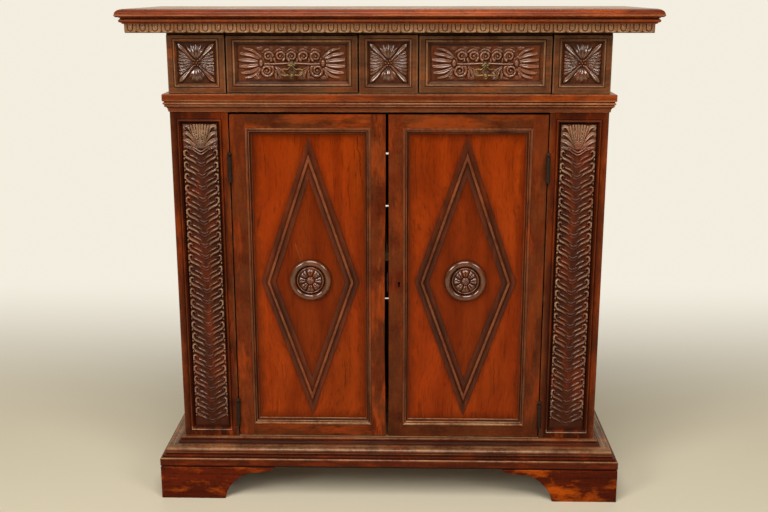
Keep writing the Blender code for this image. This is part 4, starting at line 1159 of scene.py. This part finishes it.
def bossHeight(r, turn):
    ringAt, ringHalf = bossLook["ring"]
    rimAt, rimHalf = bossLook["rim"]
    leafAt, leafHalf = bossLook["leaf"]
    out = 4.0 + np.sqrt(np.clip(ringHalf ** 2 - (r - ringAt) ** 2, 0, None))
    step = np.where(r < 29.2, 5.2, out)
    rim = 7.4 + 1.8 * np.sqrt(np.clip(1 - ((r - rimAt) / rimHalf) ** 2, 0, None))
    h = np.where(np.abs(r - rimAt) < rimHalf, rim, np.where(r > 26.7, step, 6.0))
    h = h - 1.2 * np.clip(1 - np.abs(r - 28.0) / 1.4, 0, 1)  # quirk outside the rim
    petal = bossLook["petals"]
    swing = np.abs((turn * petal / math.tau + 0.5) % 1 - 0.5) * 2
    reach = np.clip(1 - ((r - leafAt) / leafHalf) ** 2, 0, 1)
    leaf = reach ** 0.5 * (0.35 + 0.65 * np.sqrt(np.clip(1 - (swing * 1.08) ** 2, 0, 1))) * 6.2
    leaf -= 2.0 * np.clip(1 - swing / 0.30, 0, 1) * reach
    h = np.where((r < 23.7) & (r > 7.4), 5.6 + leaf, h)
    bud = 8.2 + 5.0 * np.sqrt(np.clip(1 - (r / bossLook["bud"]) ** 2, 0, 1))
    dots = np.cos(turn * bossLook["seeds"]) * np.clip(1 - np.abs(r - 5.0) / 2.4, 0, 1) * 0.8
    return np.where(r <= 7.8, bud + dots, h)


def buildBoss(node):
    low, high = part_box(node)
    middle = ((low.x + high.x) / 2, (low.z + high.z) / 2)
    radii = np.unique(np.concatenate([np.linspace(0.6, 22, 46), np.linspace(21.6, 29.6, 24),
                                      np.linspace(29.0, 42.0, 26)]))
    turns = np.arange(bossLook["spokes"]) * math.tau / bossLook["spokes"]
    gr, gt = np.meshgrid(radii, turns, indexing="ij")
    h = bossHeight(gr, gt)
    h[-1] = bossLook["border"]
    grown = gr * (high.x - low.x) / 2 / bossLook["drawn"]
    x, z = middle[0] + grown * np.cos(gt), middle[1] + grown * np.sin(gt)
    ring = len(turns)
    points = np.column_stack([x.ravel(), high.y - h.ravel() * mm, z.ravel()]).tolist()
    index = np.arange(len(points)).reshape(len(radii), ring)
    after = np.roll(index, -1, 1)
    faces = np.stack([index[:-1], index[1:], after[1:], after[:-1]], -1).reshape(-1, 4).tolist()
    crown = len(points)
    points.append((middle[0], high.y - bossLook["crown"] * mm, middle[1]))
    faces += [(crown, a, b) for a, b in zip(index[0].tolist(), after[0].tolist())]
    start = len(points)
    points += [(a, high.y, b) for a, b in zip(x[-1], z[-1])]
    rim = index[-1].tolist()
    faces += [(rim[i], start + i, start + (i + 1) % ring, rim[(i + 1) % ring]) for i in range(ring)]
    faces.append(tuple(range(start + ring - 1, start - 1, -1)))
    mesh = meshFrom(node + "Look", points, faces)
    wrapped = np.concatenate([h, h, h], 1)
    edge, hollow = (v[:, ring:2 * ring] for v in reliefValues(wrapped, 3.0, 2.2))
    extra = np.zeros(1 + ring)
    storeValues(mesh, edge=np.concatenate([edge.ravel(), extra]),
                hollow=np.concatenate([hollow.ravel(), extra]))
    addPiece(node, mesh, woods["boss"], "boss")


buildBoss("left_door_boss")
buildBoss("right_door_boss")
print("bosses carved")


# mouldings: a close drawn section, swept with mitred corners
def bend(centre, radii, start, end, steps=10):
    turns = np.radians(np.linspace(start, end, steps + 1))
    return [(centre[0] + radii[0] * math.cos(t), centre[1] + radii[1] * math.sin(t)) for t in turns]


def closeDrawn(section, step, ease):
    pts = np.asarray(section, float)
    rows = []
    for a, b in zip(pts, np.roll(pts, -1, 0)):
        count = max(1, int(math.ceil(np.hypot(*(b - a)) / step)))
        rows.append(a + (b - a) * np.linspace(0, 1, count, endpoint=False)[:, None])
    return ringBlur(np.vstack(rows), ease / step)


def ringBlur(pts, size):
    reach, taps = softTaps(size)
    return sum(w * np.roll(pts, k, 0) for k, w in zip(range(-reach, reach + 1), taps))


def sweep(node, path, section, closed, standing, material, step=0.55, ease=0.35, scale=0.42, paleBand=None,
          paleIn=None, darkIn=()):
    dense = closeDrawn(section, step, ease)
    along = np.roll(dense, -1, 0) - np.roll(dense, 1, 0)
    length = np.maximum(np.hypot(along[:, 0], along[:, 1]), 1e-9)
    out = np.column_stack([along[:, 1], -along[:, 0]]) / length[:, None]
    area = np.sum(dense[:, 0] * np.roll(dense[:, 1], -1) - np.roll(dense[:, 0], -1) * dense[:, 1])
    out *= math.copysign(1, area)
    lift = np.sum((dense - ringBlur(dense, 1.8 / step)) * out, 1)
    points, count = [], len(dense)
    spots = [Vector(p) for p in path]
    for i, spot in enumerate(spots):
        before = spots[i - 1] if i or closed else None
        after = spots[(i + 1) % len(spots)] if i < len(spots) - 1 or closed else None
        sides = []
        for a, b in ((before, spot), (spot, after)):
            if a is not None and b is not None:
                way = (b - a).normalized()
                sides.append(Vector((way.y, -way.x)))
        reach = sides[0] if len(sides) == 1 else (sides[0] + sides[1]) / (1 + sides[0].dot(sides[1]))
        for across, level in dense:
            a, b = spot.x + reach.x * across * mm, spot.y + reach.y * across * mm
            points.append((a, b, level * mm) if standing else (a, level * mm, b))
    faces = []
    runs = len(spots) if closed else len(spots) - 1
    for r in range(runs):
        a, b = r * count, (r + 1) % len(spots) * count
        faces += [(a + i, a + (i + 1) % count, b + (i + 1) % count, b + i) for i in range(count)]
    if not closed:
        faces += [tuple(range(count)), tuple(range((len(spots) - 1) * count, len(spots) * count))]
    mesh = meshFrom(node + "Look", points, faces)
    shape = bmesh.new()
    shape.from_mesh(mesh)
    bmesh.ops.recalc_face_normals(shape, faces=shape.faces)
    if isinstance(material, tuple):
        for face in shape.faces:
            face.material_index = sweepSlot(face.calc_center_median(), spots)
    shape.to_mesh(mesh)
    shape.free()
    # pale on convex turns of the section and dark in concave ones, partly wear and dirt, partly painted
    # highlight and painted shade
    paled = lift / scale
    if paleBand:
        paled = np.maximum(paled, paleBand[2] * np.clip(1.4 - np.abs(dense[:, 1] - paleBand[0]) / paleBand[1], 0, 1))
    darkened = -lift / scale
    if paleIn:
        paled = sum(np.where((dense[:, 1] > a) & (dense[:, 1] < b), paled, 0.0) for a, b in paleIn)
    for a, b, amount in darkIn:
        darkened = np.where((dense[:, 1] > a) & (dense[:, 1] < b), np.maximum(darkened, amount), darkened)
    storeValues(mesh, edge=np.tile(paled, len(spots)), hollow=np.tile(darkened, len(spots)))
    return addPiece(node, mesh, material, "moulding")


# the first material goes on the upper run, the second on upright ones, the third, a lighter copy with painted
# highlight, on the sill
def sweepSlot(centre, spots):
    xs = [p.x for p in spots]
    zs = [p.y for p in spots]
    nearX = min(centre.x - min(xs), max(xs) - centre.x)
    nearZ = min(centre.z - min(zs), max(zs) - centre.z)
    return 1 if nearX < nearZ else 2 * (centre.z < (min(zs) + max(zs)) / 2)


waistLook = {"reach": 12.0, "fascia": 14.6}
baseLook = {"reach": 46.5, "fascia": 20.0, "step": 5.5}


def wrapPath():
    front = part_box("left_carved_block")[0].y + proud
    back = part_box("base_moulding")[1].y
    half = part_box("right_side_board")[1].x
    return [(-half, back), (-half, front), (half, front), (half, back)]


def buildWaist():
    low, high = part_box("waist_moulding")
    top, foot, reach = high.z / mm, low.z / mm, waistLook["reach"]
    edge = top - waistLook["fascia"]
    section = [(0.3, top)] + bend((reach - 1.8, top - 1.8), (1.8, 1.8), 90, 0, 5)
    section += [(reach, edge + 0.9), (reach - 0.6, edge + 0.1), (reach - 3.4, edge - 0.2),
                (reach - 3.4, edge - 1.5), (reach - 2.6, edge - 1.8)]
    section += bend((reach - 3.6, edge - 4.2), (2.6, 2.4), 90, -70, 8)
    section += [(reach - 4.2, edge - 6.9), (reach - 3.7, edge - 7.4)]
    section += bend((reach - 4.9, edge - 9.2), (1.9, 1.7), 75, -70, 7)
    section += [(reach - 5.6, edge - 11.4)]
    section += bend((reach - 5.4 + 0.4, foot + 2.2), (4.6, edge - 11.6 - foot - 2.2), 90, 180, 8)
    section += [(1.9, foot + 1.9), (2.0, foot), (0.3, foot)]
    sweep("waist_moulding", wrapPath(), section, False, True, woods["waist"], paleBand=(foot + 7.0, 5.0, 0.28))


def buildBase():
    low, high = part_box("base_moulding")
    top, foot, reach, step = high.z / mm, low.z / mm, baseLook["reach"], baseLook["step"]
    level = foot + baseLook["fascia"]
    section = [(0.3, foot), (reach - 3.4, foot), (reach - 3.4, foot + 2.2), (reach - 0.4, foot + 2.7),
               (reach, foot + 3.3)]
    section += [(reach, level - 1.2), (reach - 1.0, level), (reach - step, level + 0.1)]
    section += bend((reach - step - 0.4, level + step * 0.55), (1.6, step * 0.45), -70, 80, 6)
    second = level + step
    section += [(reach - 2 * step + 0.6, second + 0.1), (reach - 2 * step + 0.8, second + step * 0.7),
                (reach - 2 * step + 0.2, second + step * 0.9)]
    neck, crown = 7.0, top - 9.0
    section += bend((26.0, second + 7.0), (9.6, 7.2), -12, 128, 14)
    section += [(19.6, second + 13.3)] + bend((19.2, crown + 0.2), (10.6, crown - second - 13.4), 270, 180, 8)
    section += [(neck + 1.4, crown + 0.3), (neck, crown + 0.5), (neck, crown + 2.0)]
    section += bend((neck - 2.6, top - 3.4), (3.2, 3.2), -30, 90, 8)
    section += [(0.3, top)]
    # a painted highlight band along the ovolo; a painted shadow line along the foot of the base, and a darker
    # cove below the collar
    sweep("base_moulding", wrapPath(), section, False, True, woods["base"], scale=0.5,
          paleBand=(second + 11.6, 3.0, 0.95), paleIn=((foot + 6, level + 1.5), (second + 2, top + 1)),
          darkIn=((foot - 1, foot + 4.4, 1.0), (second + 14.4, crown + 0.4, 0.7)))


lozengeTip = {"left": 9 * mm, "right": 12 * mm}  # upper tips, drawn out above the even shape


def buildDoorMouldings(side):
    node = side + "_door_panel_moulding"
    low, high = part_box(node)
    x0, x1, z0, z1 = low.x, high.x, low.z, high.z
    seat, front = high.y / mm, (low.y + 0.001) / mm
    deep = seat - front
    section = [(0, seat), (0, front + 0.4)] + bend((2.5, front + 0.3), (2.3, 1.4), 180, 360, 9)
    section += [(5.1, front + 1.9), (5.6, front + 2.3), (6.0, front + 1.9)]
    section += bend((7.0, front + 2.1), (1.0, 0.9), 190, 350, 5)
    section += [(8.1, front + 3.0)] + bend((11.6, front + 3.0), (3.4, deep - 5.4), 180, 95, 7)
    section += [(11.4, seat - 2.3), (12.0, seat - 2.1), (12.0, seat)]
    path = [(x0, z0), (x0, z1), (x1, z1), (x1, z0)]
    sweep(node, path, section, True, False, (woods["moulded"], woods["mouldedUpright"], woods["litSill"]), 0.5,
          0.25, 0.35)
    node = side + "_door_lozenge"
    low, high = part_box(node)
    middle = ((low.x + high.x) / 2, (low.z + high.z) / 2)
    seat = high.y / mm
    path = [(middle[0], low.z), (low.x, middle[1]), (middle[0], high.z + lozengeTip[side]),
            (high.x, middle[1])]
    rise = (high.y - low.y) / mm
    half = [(0, 0), (0, 1.3), (0.5, 1.8), (2.0, 2.0)]
    half += bend((2.2, rise - 1.0), (8.3, rise - 3.1), -88, -10)
    half += [(10.7, rise - 2.2)] + bend((13.75, rise - 1.8), (2.7, 1.8), 175, 90, 7)
    section = [(x, seat - y) for x, y in half] + [(27.5 - x, seat - y) for x, y in reversed(half[:-1])]
    # pale only on the crest: a painted highlight line
    sweep(node, path, section, True, False, woods["lozenge"], 0.5, 0.25, 0.45,
          paleIn=((seat - rise - 1, seat - rise + 1.0),))


# boards of the top: a close drawn edge round three sides, flat above and below
def slab(node, profile, material, scale=0.5, highlightBands=()):
    low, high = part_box(node)
    rows = []
    for a, b in zip(profile[:-1], profile[1:]):
        count = max(1, int(math.ceil(math.hypot(b[0] - a[0], b[1] - a[1]) / 0.5)))
        rows += [(a[0] + (b[0] - a[0]) * i / count, a[1] + (b[1] - a[1]) * i / count) for i in range(count)]
    dense = np.asarray(rows + [profile[-1]])
    soft = dense.copy()
    for _ in range(2):
        soft[1:-1] = (soft[:-2] + 2 * soft[1:-1] + soft[2:]) / 4
    broad = soft.copy()
    for _ in range(14):
        broad[1:-1] = (broad[:-2] + 2 * broad[1:-1] + broad[2:]) / 4
    lift = (soft - broad)[:, 0]
    points, faces = [], []
    reach = soft[:, 0].max()
    for out, level in soft:
        x0, x1, y0 = low.x + (reach - out) * mm, high.x - (reach - out) * mm, low.y + (reach - out) * mm
        points += [(x0, y0, level * mm), (x1, y0, level * mm), (x1, high.y, level * mm),
                   (x0, high.y, level * mm)]
    for r in range(len(soft) - 1):
        faces += [(4 * r + i, 4 * r + (i + 1) % 4, 4 * r + 4 + (i + 1) % 4, 4 * r + 4 + i) for i in range(4)]
    last = 4 * (len(soft) - 1)
    faces += [(3, 2, 1, 0), (last, last + 1, last + 2, last + 3)]
    mesh = meshFrom(node + "Look", points, faces)
    # pale on the rounded edge and dark in its quirks, partly wear and partly painted light; the listed bands
    # paint highlight lines
    paled = lift / scale
    for level, half, amount in highlightBands:
        band = np.clip(1.6 - np.abs(soft[:, 1] - level) / half, 0, 1)
        paled = np.maximum(paled, amount * band * (soft[:, 0] > 7))
    storeValues(mesh, edge=np.repeat(paled, 4), hollow=np.repeat(-lift / scale, 4))
    return addPiece(node, mesh, material, "moulding")


def buildTop():
    low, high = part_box("top_board")
    foot, top = low.z / mm, high.z / mm
    edge = [(-14, foot), (11.2, foot), (12.6, foot + 0.7), (13.0, foot + 1.6), (14.4, foot + 2.2),
            (15.0, foot + 3.0), (14.9, foot + 4.4), (14.2, foot + 4.8)]
    edge += bend((1.2, foot + 5.2), (12.8, 10.0), 2, 82, 14)
    edge += [(2.2, top - 0.4), (1.2, top - 0.05), (-20, top)]
    # painted highlight lines on the nosing, at its widest edge and along its top
    slab("top_board", edge, woods["topLevel"], highlightBands=((foot + 3.6, 1.2, 1.0), (top - 0.3, 0.5, 0.5)))
    low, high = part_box("bed_moulding")
    foot, top = low.z / mm, high.z / mm
    edge = [(-8, foot), (0.6, foot), (0.8, foot - 1.9), (2.2, foot - 2.3), (3.2, foot + 0.2)]
    edge += bend((3.2, foot + 3.8), (4.8, 3.6), -70, 70)
    edge += [(4.6, foot + 7.6), (4.6, foot + 8.6), (7.4, top - 0.9), (7.4, top - 0.1), (-8, top)]
    slab("bed_moulding", edge, woods["bed"])


buildTop()
buildWaist()
buildBase()
buildDoorMouldings("left")
buildDoorMouldings("right")
print("mouldings run")


# pulls: a lobed plate with a domed middle and an eye, and a winged bail with a ringed knob
pullLook = {"plate": 8.5, "lobe": 0.16, "lobes": 4, "plateSides": 48, "bailDrop": 20.0, "wire": 1.05,
            "swell": 0.45, "round": 12, "knobSides": 24,
            "eye": {"rim": 3.3, "thick": 1.25, "half": 2.4, "sides": 28, "round": 10}}
plateTurning = [(1.0, 0.0), (1.0, 0.9), (0.93, 1.35), (0.80, 1.25), (0.70, 1.7), (0.45, 2.6), (0.22, 3.0)]
bailWing = [(0.0, 0.0), (4.2, -2.6), (8.4, -6.4), (14.0, -6.0), (20.0, -7.2), (22.6, -11.6), (20.2, -16.4),
            (14.2, -18.4), (7.6, -17.8), (0.0, -20.0)]
knobTurning = [(0.4, -1.5), (1.4, -1.4), (2.0, -0.6), (2.4, -0.5), (3.0, -1.9), (4.0, -2.5), (5.0, -2.0),
               (5.5, -0.7), (5.5, 0.6), (4.7, 1.5), (0.4, 1.5)]


def ringOf(shape, count, place):
    return [shape.verts.new(place(math.tau * i / count)) for i in range(count)]


def skin(shape, rings, closed=False):
    for a, b in zip(rings, rings[1:] + rings[:1] if closed else rings[1:]):
        for i, j in zip(range(len(a)), list(range(1, len(a))) + [0]):
            shape.faces.new((a[i], a[j], b[j], b[i]))


def lathe(shape, profile, centre, count):
    x, y, z = centre
    rings = []
    for r, level in profile:
        def around(turn):
            return x + r * mm * math.cos(turn), y + level * mm, z + r * mm * math.sin(turn)
        rings.append(ringOf(shape, count, around))
    skin(shape, rings)
    shape.faces.new(rings[0][::-1])
    shape.faces.new(rings[-1])


def finishMetal(shape, node, material, hollowAt, paleAmount):
    bmesh.ops.recalc_face_normals(shape, faces=shape.faces)
    mesh = bpy.data.meshes.new(node + "Look")
    shape.to_mesh(mesh)
    shape.free()
    paled = [1.0 - hollowAt(v.co) for v in mesh.vertices]
    storeValues(mesh, edge=np.asarray(paled) * paleAmount, hollow=1.0 - np.asarray(paled))
    addPiece(node, mesh, material, "metal")


def buildPlate(node, x, y, z):
    back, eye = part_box(node)[1].y, pullLook["eye"]
    shape = bmesh.new()
    rings = []
    for share, lift in plateTurning:
        def lobed(turn):
            lobe = pullLook["lobe"] * share * math.cos(pullLook["lobes"] * turn)
            radius = pullLook["plate"] * mm * share * (1 + lobe)
            return x + radius * math.cos(turn), back - lift * mm, z + radius * math.sin(turn)
        rings.append(ringOf(shape, pullLook["plateSides"], lobed))
    skin(shape, rings)
    shape.faces.new(rings[0])
    shape.faces.new(rings[-1])
    hoop = []
    for i in range(eye["sides"]):
        turn = math.tau * i / eye["sides"]

        def around(roll):
            r, side = eye["rim"] + eye["thick"] * math.cos(roll), eye["half"] * math.sin(roll)
            return x + side * mm, y + r * math.cos(turn) * mm, z + r * math.sin(turn) * mm
        hoop.append(ringOf(shape, eye["round"], around))
    skin(shape, hoop, True)
    finishMetal(shape, node, brass, lambda p: min(1.0, max(0.0, (p.y - back) / (2.2 * mm) + 1.0)), 0.2)


def buildBail(node, x, y, z):
    shape = bmesh.new()
    course = bailWing + mirrored(bailWing[-2:0:-1]) + bailWing[:1]
    turns = smoothPath([(a, b, 1.0) for a, b in course], 1.2)[:-1]
    rings = []
    for i, (mx, mz, _) in enumerate(turns):
        ahead = turns[(i + 1) % len(turns)] - turns[i - 1]
        out, up = np.array([ahead[1], -ahead[0]]) / math.hypot(ahead[0], ahead[1])
        wire = pullLook["wire"] - pullLook["swell"] * max(-1.0, mz / 14.0)

        def around(roll):
            a, d = wire * math.cos(roll), wire * math.sin(roll)
            return x + (mx + a * out) * mm, y + d * mm, z + (mz + a * up) * mm
        rings.append(ringOf(shape, pullLook["round"], around))
    skin(shape, rings, True)
    lathe(shape, knobTurning, (x, y, z - pullLook["bailDrop"] * mm), pullLook["knobSides"])
    finishMetal(shape, node, brass, lambda p: min(1.0, max(0.0, (p.y - y) / (1.6 * mm) * 0.5 + 0.35)), 0.6)


def buildPull(side):
    low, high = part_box(side + "_pull_bail")
    centre = ((low.x + high.x) / 2, (low.y + high.y) / 2, (high.z / mm - 1.5) * mm)
    buildPlate(side + "_pull_plate", *centre)
    buildBail(side + "_pull_bail", *centre)


buildPull("left")
buildPull("right")
print("pulls made")
